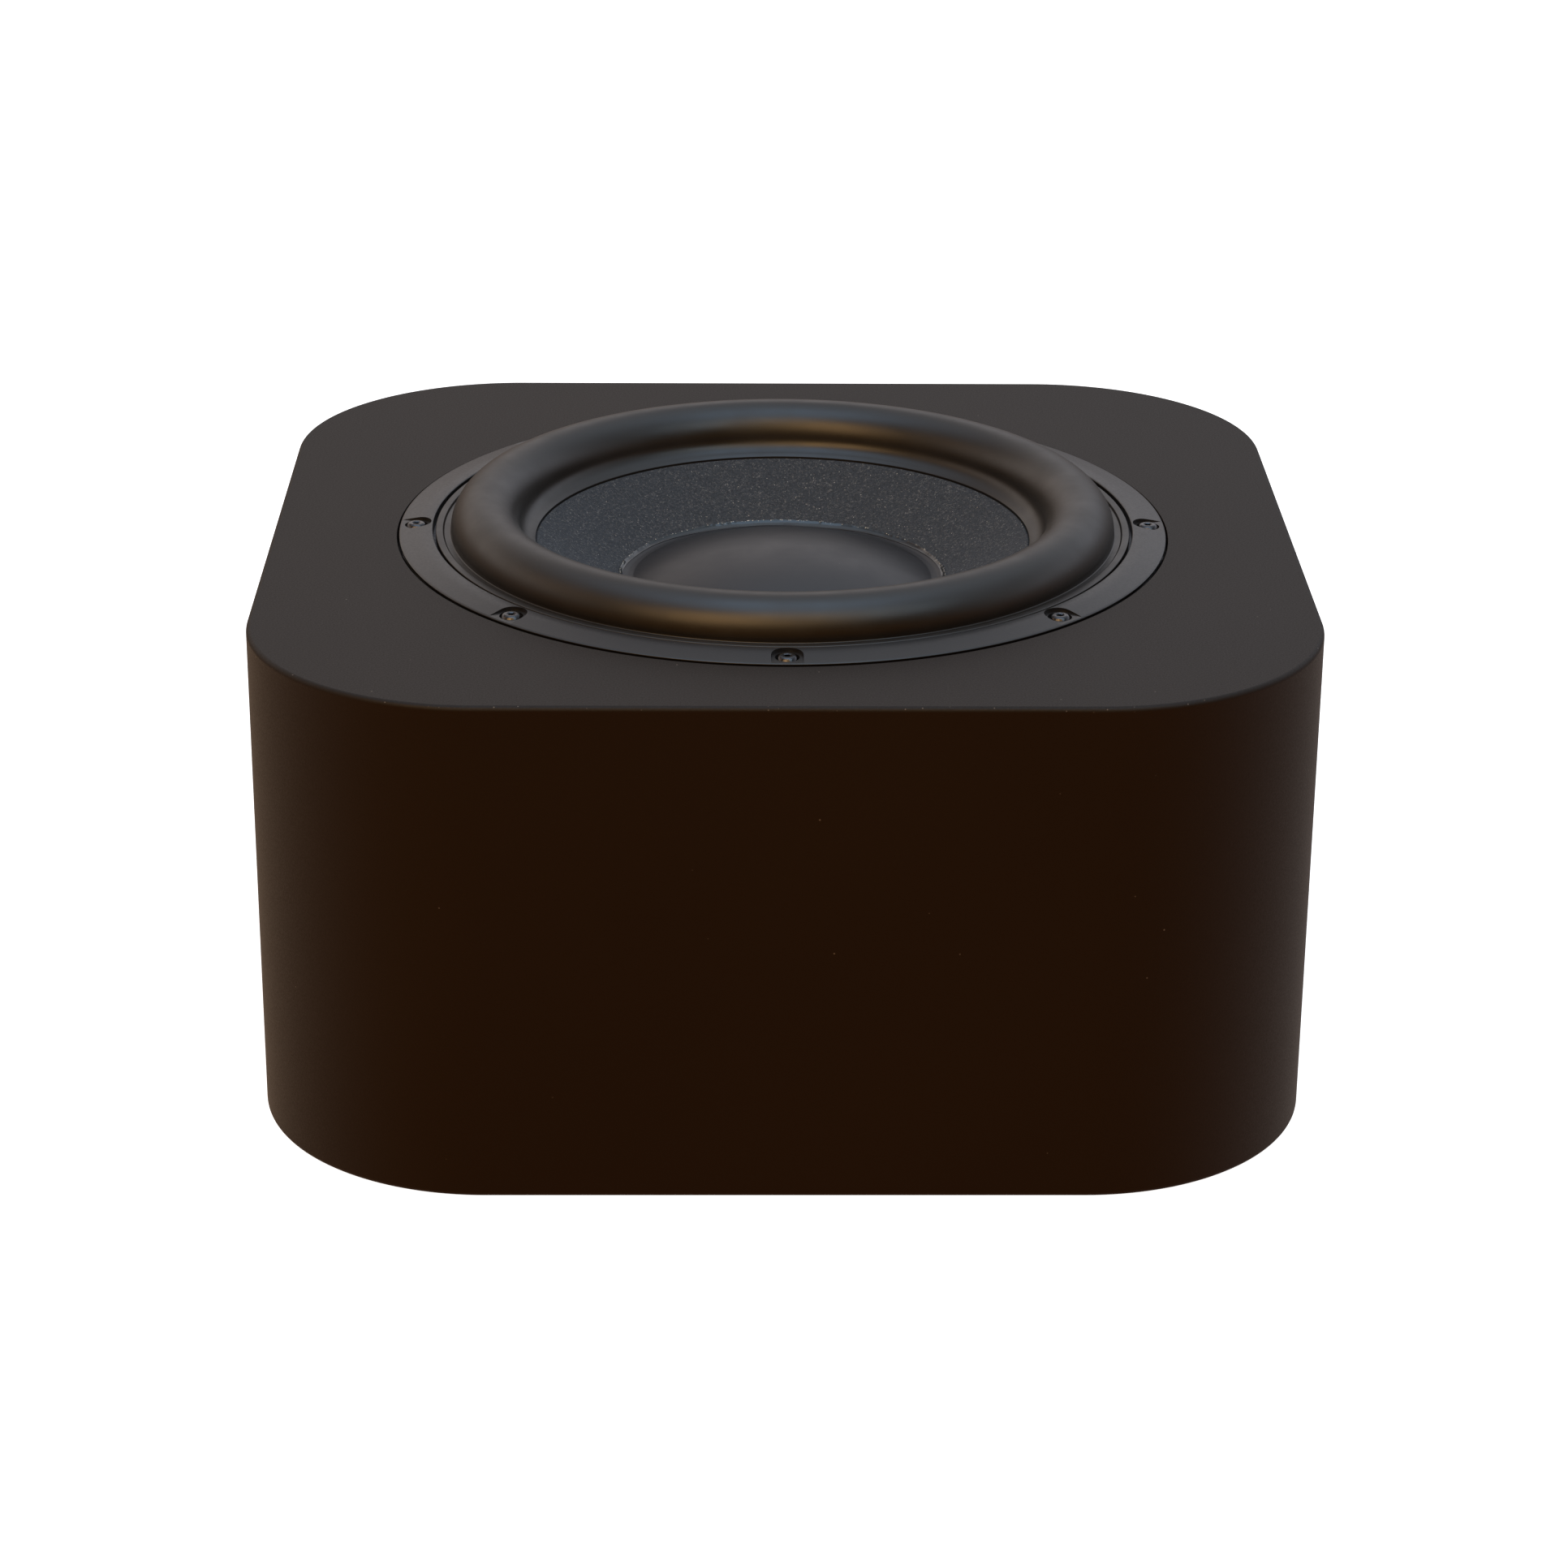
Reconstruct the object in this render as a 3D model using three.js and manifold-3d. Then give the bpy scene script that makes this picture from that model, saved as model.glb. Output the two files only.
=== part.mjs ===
// Active subwoofer: a closed cabinet with round vertical corners, a driver that fires up through the top
// panel, and an amplifier recessed into the back wall. Millimetres, +Z up, front at -Y, origin on the floor
// under the middle of the cabinet.
import * as THREE from "three";
import { mergeVertices } from "three/addons/utils/BufferGeometryUtils.js";
import Module from "manifold-3d";

const wasm = await Module();
wasm.setup();

// ---- Driving dimensions ----

const GAP = 0.3; // between pieces that touch
const RING_SIDES = 32; // sides of the large rings about the driver's axis
const MOTOR_SIDES = 24; // sides of the hidden rings of the motor and suspension
const SMALL_SIDES = 8; // sides of screws, their holes and other small turned pieces
const CORNER_SEGMENTS = 8; // sides of each round corner of the cabinet

const CABINET = { width: 414, depth: 396, bottom: 8, top: 210, corner: 92, edge: 2.5, wall: 18 };
const TOP_CUT = { holeRadius: 142.5, rebateRadius: 156.6, rebateDepth: 6.5 };
const DRIVER_SCREWS = { count: 8, circle: 149.25, shank: 2.5, hole: 2.9, head: 4.25, counterbore: 6.2 };
const PLATE = { width: 209.4, height: 129.4, thickness: 3, face: 184.3, centreZ: 109 };
const POCKET = { width: 210, height: 130, floor: 181 };
const LEDGE = { width: 184, height: 104, blockWidth: 234, blockHeight: 154, inner: 168 };
const PLATE_SCREW = { x: 98.5, y: 58.5, shank: 1.7, hole: 2.2, pilot: 2.1, head: 3.6 };
const FOOT = {
  x: 146, y: 137, height: 7.7, radius: 17, base: 15, lip: 1.5, bore: 2.8, recess: 6, web: 3, pilot: 2.6,
  screwShank: 2.2, screwHead: 5, screwTip: 20, screwTop: 1.8, socket: 2,
};
const BRACE = { x: 165, thickness: 12, length: 120 };
const WADDING = { width: 200, depth: 14, clearance: 4 };

// Driver levels, measured from the top of the cabinet.
const RING = {
  inner: 141.9, outer: 156, base: -1.8, rimZ: 0.1, shoulder: 155.2, shoulderZ: 0.8, topZ: 2.4,
};
const RING_BORE = { floor: -0.2, headUnder: 0.1, headTop: 1.8, screwTip: -17, socket: 2.2 };
const BASKET = {
  inner: 134.5, flange: 155.7, flangeTop: -2.1, flangeBottom: -4.8, wallInner: 136, wallOuter: 141.5,
  wallBottom: -18, footInner: 131, footTop: -14,
};
const SPOKE = { count: 6, width: 14, outer: 141, top: -8, knee: -17, inner: 93.5, foot: -63.5, thick: 4 };
const CUP = {
  seatInner: 44, seatOuter: 84, seatZ: -76, shelf: 94, shelfZ: -60, shelfBottom: -64, thick: 3, wall: 4,
};
const CONE = { outer: 106, edge: 100.6, edgeZ: -3.1, glue: 66.66, glueZ: -20.44, neck: 38.9, thick: 1.3 };
const CAP = { radius: 61, rim: 66.3, z: -20.7, crown: 12, thick: 1.2 };
const ROLL = { centre: 121, half: 14, baseZ: 2, height: 13.8, thick: 1.4, steps: 6 };
const COIL = {
  formerInner: 38.0, formerOuter: 38.35, formerTop: -35.2, outer: 39.9, topZ: -69.3, bottomZ: -93.3,
};
const MOTOR = {
  plateTop: -76.3, plateBottom: -86.3, plateHole: 40.9, plateRadius: 72, magnetBottom: -110.6, magnetHole: 48,
  magnetRadius: 76, backBottom: -121.9, pole: 37.3, vent: 10,
};
const SPIDER = {
  outer: 88, land: 79.5, waveStart: 3, waveEnd: 78, z: -58.6, wave: 1.8, crest: 0.8, thick: 1, steps: 8,
};
const GASKET = { inner: 143.2, outer: 146.1, low: -6.2, high: -5.1 };
const TERMINALS = { angle: 60, radius: 96.2, z: -56, thickness: 3, width: 26, height: 16 };
const LEAD = {
  spread: 5, radius: 1, steps: 12,
  route: [[94.2, -50.5], [86, -48], [76, -46], [66, -43], [58, -38], [54, -30]],
};

// ---- Materials ----

const finish = (color, roughness, metalness = 0) =>
  new THREE.MeshStandardMaterial({ color, roughness, metalness });
const MATERIAL = {
  cabinet: finish(0x2c2a28, 0.85),
  satinBlack: finish(0x1c1d1f, 0.45, 0.3),
  rubber: finish(0x232324, 0.5),
  paper: finish(0x44464a, 0.8),
  screw: finish(0x3a3a3c, 0.35, 0.9),
  cast: finish(0x5b5d60, 0.6, 0.8),
  ferrite: finish(0x2a2a2c, 0.7),
  steel: finish(0x8d8f92, 0.4, 0.9),
  copper: finish(0xb06a3a, 0.4, 0.9),
  cloth: finish(0xc2a24a, 0.9),
  foam: finish(0x18181a, 0.95),
  wadding: finish(0xe6e4de, 1),
  board: finish(0x1f5a38, 0.6),
  plastic: finish(0x151516, 0.6),
  woodBoard: finish(0x9c7d58, 0.8),
  lamp: finish(0x3aa0ff, 0.3),
};

// ---- Geometry helpers ----

function solid(geometry) {
  const bare = geometry.clone();
  bare.deleteAttribute("normal");
  bare.deleteAttribute("uv");
  const merged = mergeVertices(bare, 1e-3);
  const positions = merged.attributes.position.array;
  const triangles = new Uint32Array(merged.index.array);
  return new wasm.Manifold(new wasm.Mesh({ numProp: 3, vertProperties: positions, triVerts: triangles }));
}

function geometryOf(made) {
  const mesh = made.getMesh();
  const geometry = new THREE.BufferGeometry();
  geometry.setAttribute("position", new THREE.BufferAttribute(mesh.vertProperties, mesh.numProp));
  geometry.setIndex(new THREE.BufferAttribute(mesh.triVerts, 1));
  return geometry;
}

const cut = (body, ...tools) => geometryOf(tools.reduce((a, b) => a.subtract(solid(b)), solid(body)));
const join = (...bodies) => geometryOf(bodies.map(solid).reduce((a, b) => a.add(b)));

// A profile of [radius, height] points turned about +Z. The points run anticlockwise: the faces point out.
function turned(points, sides = RING_SIDES) {
  const closed = points[0][0] === 0 && points.at(-1)[0] === 0 ? points : [...points, points[0]];
  const area = closed.reduce((sum, [r, z], i) => {
    const [nextR, nextZ] = closed[(i + 1) % closed.length];
    return sum + r * nextZ - nextR * z;
  }, 0);
  const ordered = area > 0 ? closed : [...closed].reverse();
  const profile = ordered.map(([r, z]) => new THREE.Vector2(r, z));
  return new THREE.LatheGeometry(profile, sides).rotateX(Math.PI / 2);
}

const ring = (inner, outer, low, high, sides) =>
  turned([[inner, low], [outer, low], [outer, high], [inner, high]], sides);
const rod = (radius, low, high, sides = SMALL_SIDES) =>
  turned([[0, low], [radius, low], [radius, high], [0, high]], sides);

function block(width, depth, height, x = 0, y = 0, z = 0) {
  return new THREE.BoxGeometry(width, depth, height).translate(x, y, z);
}

function roundedOutline(width, depth, radius) {
  const x = width / 2 - radius;
  const y = depth / 2 - radius;
  const shape = new THREE.Shape();
  shape.absarc(x, y, radius, 0, Math.PI / 2);
  shape.absarc(-x, y, radius, Math.PI / 2, Math.PI);
  shape.absarc(-x, -y, radius, Math.PI, 1.5 * Math.PI);
  shape.absarc(x, -y, radius, 1.5 * Math.PI, 2 * Math.PI);
  return shape;
}

function slab(shape, low, high) {
  const options = { depth: high - low, bevelEnabled: false, curveSegments: CORNER_SEGMENTS };
  return new THREE.ExtrudeGeometry(shape, options).translate(0, 0, low);
}

function onCircle(geometry, radius, angle) {
  return geometry.translate(radius * Math.cos(angle), radius * Math.sin(angle), 0);
}

function tubeAlong(points, radius, steps) {
  const section = new THREE.Shape().absarc(0, 0, radius, 0, 2 * Math.PI);
  const path = new THREE.CatmullRomCurve3(points.map((p) => new THREE.Vector3(...p)));
  return new THREE.ExtrudeGeometry(section, { extrudePath: path, steps, curveSegments: 4 });
}

function screw({ shank, head }, tip, under, top, socket) {
  const floor = top - (top - under) * 0.6;
  const profile = [
    [0, tip], [shank, tip], [shank, under], [head, under], [head, top], [socket, top], [socket, floor],
    [0, floor],
  ];
  return turned(profile, SMALL_SIDES);
}

function place(group, name, geometry, material) {
  const mesh = new THREE.Mesh(geometry, material);
  mesh.name = name;
  group.add(mesh);
}

const driverScrewAngles = Array.from(
  { length: DRIVER_SCREWS.count },
  (_, i) => -Math.PI / 2 + (i * 2 * Math.PI) / DRIVER_SCREWS.count,
);
const cornerSigns = [[-1, -1], [1, -1], [1, 1], [-1, 1]];
const driverHoles = (radius, low, high) =>
  driverScrewAngles.map((angle) => onCircle(rod(radius, low, high), DRIVER_SCREWS.circle, angle));

// ---- Cabinet ----

function cabinetOutside() {
  const { width, depth, corner, edge, bottom, top } = CABINET;
  const shape = roundedOutline(width, depth, corner);
  const bevel = { bevelEnabled: true, bevelThickness: edge, bevelSize: edge, bevelOffset: -edge };
  const straight = top - bottom - 2 * edge;
  const options = { depth: straight, curveSegments: CORNER_SEGMENTS, bevelSegments: 1, ...bevel };
  return new THREE.ExtrudeGeometry(shape, options).translate(0, 0, bottom + edge);
}

function insideOutline(clearance) {
  const shrink = 2 * (CABINET.wall + clearance);
  const radius = CABINET.corner - CABINET.wall - clearance;
  return roundedOutline(CABINET.width - shrink, CABINET.depth - shrink, radius);
}

function cabinetShell() {
  const { top, bottom, wall, depth } = CABINET;
  const hollow = slab(insideOutline(0), bottom - 1, top - wall);
  const walls = cut(cabinetOutside(), hollow);
  const blockEnd = depth / 2 - wall / 2;
  const blockDepth = blockEnd - LEDGE.inner;
  const blockY = LEDGE.inner + blockDepth / 2;
  const batten = block(LEDGE.blockWidth, blockDepth, LEDGE.blockHeight, 0, blockY, PLATE.centreZ);
  const pocketDepth = depth / 2 + 5 - POCKET.floor;
  const pocketY = POCKET.floor + pocketDepth / 2;
  const pocket = block(POCKET.width, pocketDepth, POCKET.height, 0, pocketY, PLATE.centreZ);
  const opening = block(LEDGE.width, 2 * wall, LEDGE.height, 0, POCKET.floor, PLATE.centreZ);
  const pilots = cornerSigns.map(([sx, sz]) =>
    rod(PLATE_SCREW.pilot, -14, 14)
      .rotateX(Math.PI / 2)
      .translate(sx * PLATE_SCREW.x, POCKET.floor, PLATE.centreZ + sz * PLATE_SCREW.y),
  );
  const rebate = rod(TOP_CUT.rebateRadius, top - TOP_CUT.rebateDepth, top + 5, RING_SIDES);
  const hole = rod(TOP_CUT.holeRadius, top - wall - 5, top, RING_SIDES);
  const screwHoles = driverHoles(DRIVER_SCREWS.hole, top - wall - 1, top);
  return cut(join(walls, batten), pocket, opening, ...pilots, rebate, hole, ...screwHoles);
}

function bottomPanel() {
  const { bottom, wall } = CABINET;
  const board = slab(insideOutline(GAP), bottom, bottom + wall);
  const holes = cornerSigns.map(([sx, sy]) =>
    rod(FOOT.pilot, bottom - 1, bottom + 14).translate(sx * FOOT.x, sy * FOOT.y, 0),
  );
  return cut(board, ...holes);
}

function foot() {
  const { radius, base, lip, recess, bore, height, web } = FOOT;
  const ceiling = height - web;
  const profile = [
    [recess, 0], [base, 0], [radius, lip], [radius, height], [bore, height], [bore, ceiling],
    [recess, ceiling],
  ];
  return turned(profile, TURNED_SIDES);
}

function buildCabinet(group) {
  place(group, "cabinet_shell", cabinetShell(), MATERIAL.cabinet);
  place(group, "bottom_panel", bottomPanel(), MATERIAL.woodBoard);
  const inside = { low: CABINET.bottom + CABINET.wall + GAP, high: CABINET.top - CABINET.wall - GAP };
  const tall = inside.high - inside.low;
  const middle = (inside.high + inside.low) / 2;
  for (const [side, x] of [["left", -BRACE.x], ["right", BRACE.x]]) {
    const brace = block(BRACE.thickness, BRACE.length, tall, x, 0, middle);
    place(group, `brace_${side}`, brace, MATERIAL.woodBoard);
  }
  const waddingY = -CABINET.depth / 2 + CABINET.wall + WADDING.depth / 2 + 1;
  const wadding = block(WADDING.width, WADDING.depth, tall - WADDING.clearance, 0, waddingY, middle);
  place(group, "wadding", wadding, MATERIAL.wadding);
  const names = ["front_left", "front_right", "back_right", "back_left"];
  const { screwShank, screwHead, screwTip, screwTop, socket, height, web } = FOOT;
  const shape = { shank: screwShank, head: screwHead };
  const footScrew = screw(shape, screwTip, height - web - GAP, screwTop, socket);
  cornerSigns.forEach(([sx, sy], i) => {
    const [x, y] = [sx * FOOT.x, sy * FOOT.y];
    place(group, `foot_${names[i]}`, foot().translate(x, y, 0), MATERIAL.rubber);
    place(group, `foot_screw_${names[i]}`, footScrew.clone().translate(x, y, 0), MATERIAL.screw);
  });
}

// ---- Driver: every height is from the top of the cabinet ----

const coneTopZ = (radius) =>
  CONE.edgeZ - ((CONE.edge - radius) * (CONE.edgeZ - CONE.glueZ)) / (CONE.edge - CONE.glue);

// The ring falls towards its rim, so each flat-bottomed counterbore is deepest on the inner side.
function trimRing() {
  const { inner, outer, base, rimZ, shoulder, shoulderZ, topZ } = RING;
  const bodyRing = turned([
    [inner, base], [outer, base], [outer, rimZ], [shoulder, shoulderZ], [inner, topZ],
  ]);
  const bores = driverHoles(DRIVER_SCREWS.counterbore, RING_BORE.floor, topZ + 2.6);
  return cut(bodyRing, ...bores, ...driverHoles(DRIVER_SCREWS.hole, -5, 1));
}

function basketSpoke(angle) {
  const { width, outer, top, knee, inner, foot, thick } = SPOKE;
  const side = new THREE.Shape();
  side.moveTo(outer - thick, top);
  side.lineTo(outer, top);
  side.lineTo(outer, knee);
  side.lineTo(inner, foot);
  side.lineTo(inner - 2.5, foot + 2.5);
  side.lineTo(outer - 7, knee + 3);
  const options = { depth: width, bevelEnabled: false };
  return new THREE.ExtrudeGeometry(side, options)
    .translate(0, 0, -width / 2)
    .rotateX(Math.PI / 2)
    .rotateZ(angle);
}

function basket() {
  const { inner, flange, flangeTop, flangeBottom, wallInner, wallOuter } = BASKET;
  const { wallBottom, footInner, footTop } = BASKET;
  const rim = turned([
    [inner, flangeBottom], [wallInner, flangeBottom], [wallInner, footTop], [footInner, footTop],
    [footInner, wallBottom], [wallOuter, wallBottom], [wallOuter, flangeBottom], [flange, flangeBottom],
    [flange, flangeTop], [inner, flangeTop],
  ]);
  const { seatInner, seatOuter, seatZ, shelf, shelfZ, shelfBottom, thick, wall } = CUP;
  const bend = seatOuter - wall;
  const cup = turned([
    [bend, seatZ + thick], [seatInner, seatZ + thick], [seatInner, seatZ], [seatOuter, seatZ],
    [seatOuter, shelfBottom], [shelf, shelfBottom], [shelf, shelfZ], [bend, shelfZ],
  ], MOTOR_SIDES);
  const sixth = (2 * Math.PI) / SPOKE.count;
  const spokes = Array.from({ length: SPOKE.count }, (_, i) => basketSpoke((i + 0.5) * sixth));
  return cut(join(rim, cup, ...spokes), ...driverHoles(DRIVER_SCREWS.hole, -6, 0));
}

// The half roll: outer lip on the basket's rim, half ellipse, and inner lip on the cone's edge.
function surroundProfile() {
  const { centre, half, baseZ, height, thick, steps } = ROLL;
  const arc = (inset) =>
    Array.from({ length: steps + 1 }, (_, i) => {
      const angle = (i * Math.PI) / steps;
      return [centre + (half - inset) * Math.cos(angle), baseZ + (height - inset) * Math.sin(angle)];
    });
  const outside = [[141.4, -1.8 + thick], [centre + half + 0.2, -1.8 + thick], ...arc(0)];
  const innerTop = [[centre - half - 0.3, CONE.edgeZ + 1], [CONE.edge, CONE.edgeZ]];
  const innerBottom = [[CONE.edge, CONE.edgeZ - 1], [centre - half + 0.8, CONE.edgeZ - 0.4]];
  const underside = [...arc(thick).reverse(), [centre + half - thick, -1.8], [141.4, -1.8]];
  return [...outside, ...innerTop, ...innerBottom, ...underside];
}

function cone() {
  const { outer, neck, edge, edgeZ, thick } = CONE;
  const lipZ = edgeZ - 1.4;
  const foot = coneTopZ(neck);
  const profile = [
    [outer, lipZ], [edge, lipZ], [neck, foot], [neck, foot - 2], [neck + 1, foot - 2],
    [edge + 0.6, lipZ - thick], [outer, lipZ - thick],
  ];
  return turned(profile);
}

function dustCap() {
  const { radius, rim, z, crown, thick } = CAP;
  const steps = 4;
  const dome = (shrink, lift) =>
    Array.from({ length: steps + 1 }, (_, i) => {
      const share = (steps - i) / steps;
      return [(radius - shrink) * share, z + lift + (crown - shrink) * (1 - share * share)];
    });
  const edge = [[radius - 1.5, z - 0.5], [64.3, z - 0.7], [rim, z + 0.4]];
  return turned([...dome(1.5, -0.3 + thick - 1.4).reverse(), ...edge, ...dome(0, 0)]);
}

function spider() {
  const { outer, land, waveStart, waveEnd, z, wave, crest, thick, steps } = SPIDER;
  const inner = COIL.formerOuter + GAP;
  const first = inner + waveStart;
  const waves = (lift) =>
    Array.from({ length: steps + 1 }, (_, i) => {
      const radius = first + ((waveEnd - first) * i) / steps;
      return [radius, z + lift + wave * Math.cos(i * Math.PI)];
    });
  const top = [[inner, z + crest], ...waves(crest), [land, z], [outer, z]];
  const low = z - thick;
  const under = [[outer, low], [land, low], ...waves(crest - thick).reverse(), [inner, low + crest]];
  return turned([...top, ...under], MOTOR_SIDES);
}

function tinselLead(angle) {
  const [c, s] = [Math.cos(angle), Math.sin(angle)];
  return tubeAlong(LEAD.route.map(([r, z]) => [r * c, r * s, z]), LEAD.radius, LEAD.steps);
}

function backPlate() {
  const { vent, plateRadius, pole, plateTop, magnetBottom, backBottom } = MOTOR;
  const backTop = magnetBottom - GAP;
  const yoke = [
    [vent, backBottom], [plateRadius, backBottom], [plateRadius, backTop], [pole, backTop], [pole, plateTop],
    [vent, plateTop],
  ];
  return turned(yoke, MOTOR_SIDES);
}

function buildDriver(group) {
  const { plateTop, plateBottom, plateHole, plateRadius, magnetBottom, magnetHole, magnetRadius } = MOTOR;
  const gasket = ring(GASKET.inner, GASKET.outer, GASKET.low, GASKET.high);
  place(group, "driver_gasket", gasket, MATERIAL.foam);
  place(group, "trim_ring", trimRing(), MATERIAL.satinBlack);
  place(group, "basket", basket(), MATERIAL.cast);
  driverScrewAngles.forEach((angle, i) => {
    const { screwTip, headUnder, headTop, socket } = RING_BORE;
    const ringScrew = screw(DRIVER_SCREWS, screwTip, headUnder, headTop, socket);
    place(group, `ring_screw_${i + 1}`, onCircle(ringScrew, DRIVER_SCREWS.circle, angle), MATERIAL.screw);
  });
  place(group, "surround", turned(surroundProfile()), MATERIAL.rubber);
  place(group, "cone", cone(), MATERIAL.paper);
  place(group, "dust_cap", dustCap(), MATERIAL.rubber);
  const former = ring(COIL.formerInner, COIL.formerOuter, COIL.bottomZ - 1, COIL.formerTop, MOTOR_SIDES);
  place(group, "voice_coil_former", former, MATERIAL.steel);
  const winding = ring(COIL.formerOuter + 0.1, COIL.outer, COIL.bottomZ, COIL.topZ, MOTOR_SIDES);
  place(group, "voice_coil", winding, MATERIAL.copper);
  place(group, "spider", spider(), MATERIAL.cloth);
  const topPlate = ring(plateHole, plateRadius, plateBottom, plateTop, MOTOR_SIDES);
  place(group, "top_plate", topPlate, MATERIAL.steel);
  const magnet = ring(magnetHole, magnetRadius, magnetBottom, plateBottom - GAP, MOTOR_SIDES);
  place(group, "magnet", magnet, MATERIAL.ferrite);
  place(group, "back_plate", backPlate(), MATERIAL.steel);
  const stripAngle = (TERMINALS.angle * Math.PI) / 180;
  const { thickness, width, height, radius, z } = TERMINALS;
  const strip = block(thickness, width, height, radius, 0, z).rotateZ(stripAngle);
  place(group, "terminal_strip", strip, MATERIAL.plastic);
  const leadSpread = (LEAD.spread * Math.PI) / 180;
  [-1, 1].forEach((side, i) =>
    place(group, `tinsel_lead_${i + 1}`, tinselLead(stripAngle + side * leadSpread), MATERIAL.copper),
  );
}

// ---- Amplifier: x runs right and y up as seen from behind, and z out of the plate ----

const POST = { x: 85, y: 44, radius: 3, end: -34.4 };
const INLET = {
  x: 62, y: -34, bodyWidth: 28, bodyHeight: 21, bodyDepth: 23.3, bodyZ: -9.35, flangeWidth: 48,
  flangeHeight: 26, flangeDepth: 2, socketWidth: 23.4, socketHeight: 15.8, socketDepth: 19, socketZ: -5.5,
  pins: [[-7, -1.5], [0, 3], [7, -1.5]], pinWidth: 2, pinHeight: 4, pinLength: 12, pinZ: -10,
};
const ROCKER = {
  x: 8, y: -38, width: 9.8, bezelWidth: 17, bezelHeight: 23, bezelDepth: 1.7, bodyWidth: 13.4,
  bodyHeight: 19.4, holeWidth: 14, holeHeight: 20, windowWidth: 10.4, windowHeight: 17.8, tip: 3.4,
  dip: 1.6, halfLength: 7.8,
  back: -5, backHalf: 6, restTilt: 8,
};
const KNOBS = [["volume", 2, 36], ["crossover", 38, 36]];
const KNOB = {
  shaft: 3, shaftEnd: -10, skirt: 9.5, skirtLow: 0.9, skirtHigh: 3, top: 11.5, topRadius: 8.2, sides: 20,
};
const POT = { size: 16, depth: 9, z: -7.8, bore: 3.4, panelHole: 3.5 };
const PHASE = {
  x: 72, y: 36, travel: 4.4, slider: 4.6, sliderHeight: 4.8, sliderDepth: 11, windowWidth: 9.6,
  windowHeight: 5.6, bodyWidth: 15, bodyHeight: 9,
};
const JACKS = [["left", 2, 2], ["right", 24, 2]];
const JACK = {
  thread: 4.4, end: -12, nut: 6.4, nutTop: 1.8, barrel: 4.15, top: 10.5, bore: 1.7, boreFloor: 3.5,
  panelHole: 4.9,
};
const LIGHT = { x: 86, y: 33, radius: 2.5, panelHole: 2.9 };
const SINK = { x: -57, width: 70, height: 96, fins: 9, fin: 2, base: 3, reach: 11.5 };
const BOARD = { width: 176, height: 92, thickness: 1.6, z: -35.5 };
const CAPACITOR = { xs: [-62, -34], y: -20, radius: 12.5, low: -71, high: -36.6 };
const TURNED_SIDES = 16; // sides of the feet, jacks, capacitors and the transformer's bolt

function amplifierPlate() {
  const { width, height, thickness } = PLATE;
  const sheet = block(width, height, thickness, 0, 0, -thickness / 2);
  const posts = cornerSigns.map(([sx, sy]) =>
    rod(POST.radius, POST.end, -1).translate(sx * POST.x, sy * POST.y, 0),
  );
  const through = (radius, x, y) => rod(radius, -thickness - 1, 1).translate(x, y, 0);
  const windows = [
    block(INLET.bodyWidth + 2 * GAP, INLET.bodyHeight + 2 * GAP, 20, INLET.x, INLET.y),
    block(ROCKER.holeWidth, ROCKER.holeHeight, 20, ROCKER.x, ROCKER.y),
    block(PHASE.windowWidth, PHASE.windowHeight, 20, PHASE.x, PHASE.y),
    ...KNOBS.map(([, x, y]) => through(POT.panelHole, x, y)),
    ...JACKS.map(([, x, y]) => through(JACK.panelHole, x, y)),
    through(LIGHT.panelHole, LIGHT.x, LIGHT.y),
    ...cornerSigns.map(([sx, sy]) => through(PLATE_SCREW.hole, sx * PLATE_SCREW.x, sy * PLATE_SCREW.y)),
  ];
  return cut(join(sheet, ...posts), ...windows);
}

function heatSink() {
  const { width, height, fins, fin, base, reach } = SINK;
  const pitch = (width - fin) / (fins - 1);
  const comb = new THREE.Shape();
  comb.moveTo(-width / 2, GAP);
  comb.lineTo(width / 2, GAP);
  for (let i = fins - 1; i >= 0; i--) {
    const left = -width / 2 + i * pitch;
    comb.lineTo(left + fin, i === fins - 1 ? reach : base + GAP);
    comb.lineTo(left + fin, reach);
    comb.lineTo(left, reach);
    if (i > 0) comb.lineTo(left, base + GAP);
  }
  comb.lineTo(-width / 2, GAP);
  const bar = new THREE.ExtrudeGeometry(comb, { depth: height, bevelEnabled: false });
  return bar.rotateX(Math.PI / 2).translate(SINK.x, height / 2, 0);
}

function mainsInlet() {
  const { x, y, flangeWidth, flangeHeight, flangeDepth, pinWidth, pinHeight, pinLength, pinZ } = INLET;
  const flange = block(flangeWidth, flangeHeight, flangeDepth, 0, 0, flangeDepth / 2 + GAP);
  const body = block(INLET.bodyWidth, INLET.bodyHeight, INLET.bodyDepth, 0, 0, INLET.bodyZ);
  const socket = block(INLET.socketWidth, INLET.socketHeight, INLET.socketDepth, 0, 0, INLET.socketZ);
  const pins = INLET.pins.map(([px, py]) => block(pinWidth, pinHeight, pinLength, px, py, pinZ));
  return join(cut(join(flange, body), socket), ...pins).translate(x, y, 0);
}

function rockerBezel() {
  const { x, y, bezelWidth, bezelHeight, bezelDepth } = ROCKER;
  const { bodyWidth, bodyHeight, windowWidth, windowHeight } = ROCKER;
  const frame = block(bezelWidth, bezelHeight, bezelDepth, 0, 0, GAP + bezelDepth / 2);
  const body = block(bodyWidth, bodyHeight, 16, 0, 0, -6);
  return cut(join(frame, body), block(windowWidth, windowHeight, 14, 0, 0, -2)).translate(x, y, 0);
}

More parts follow.
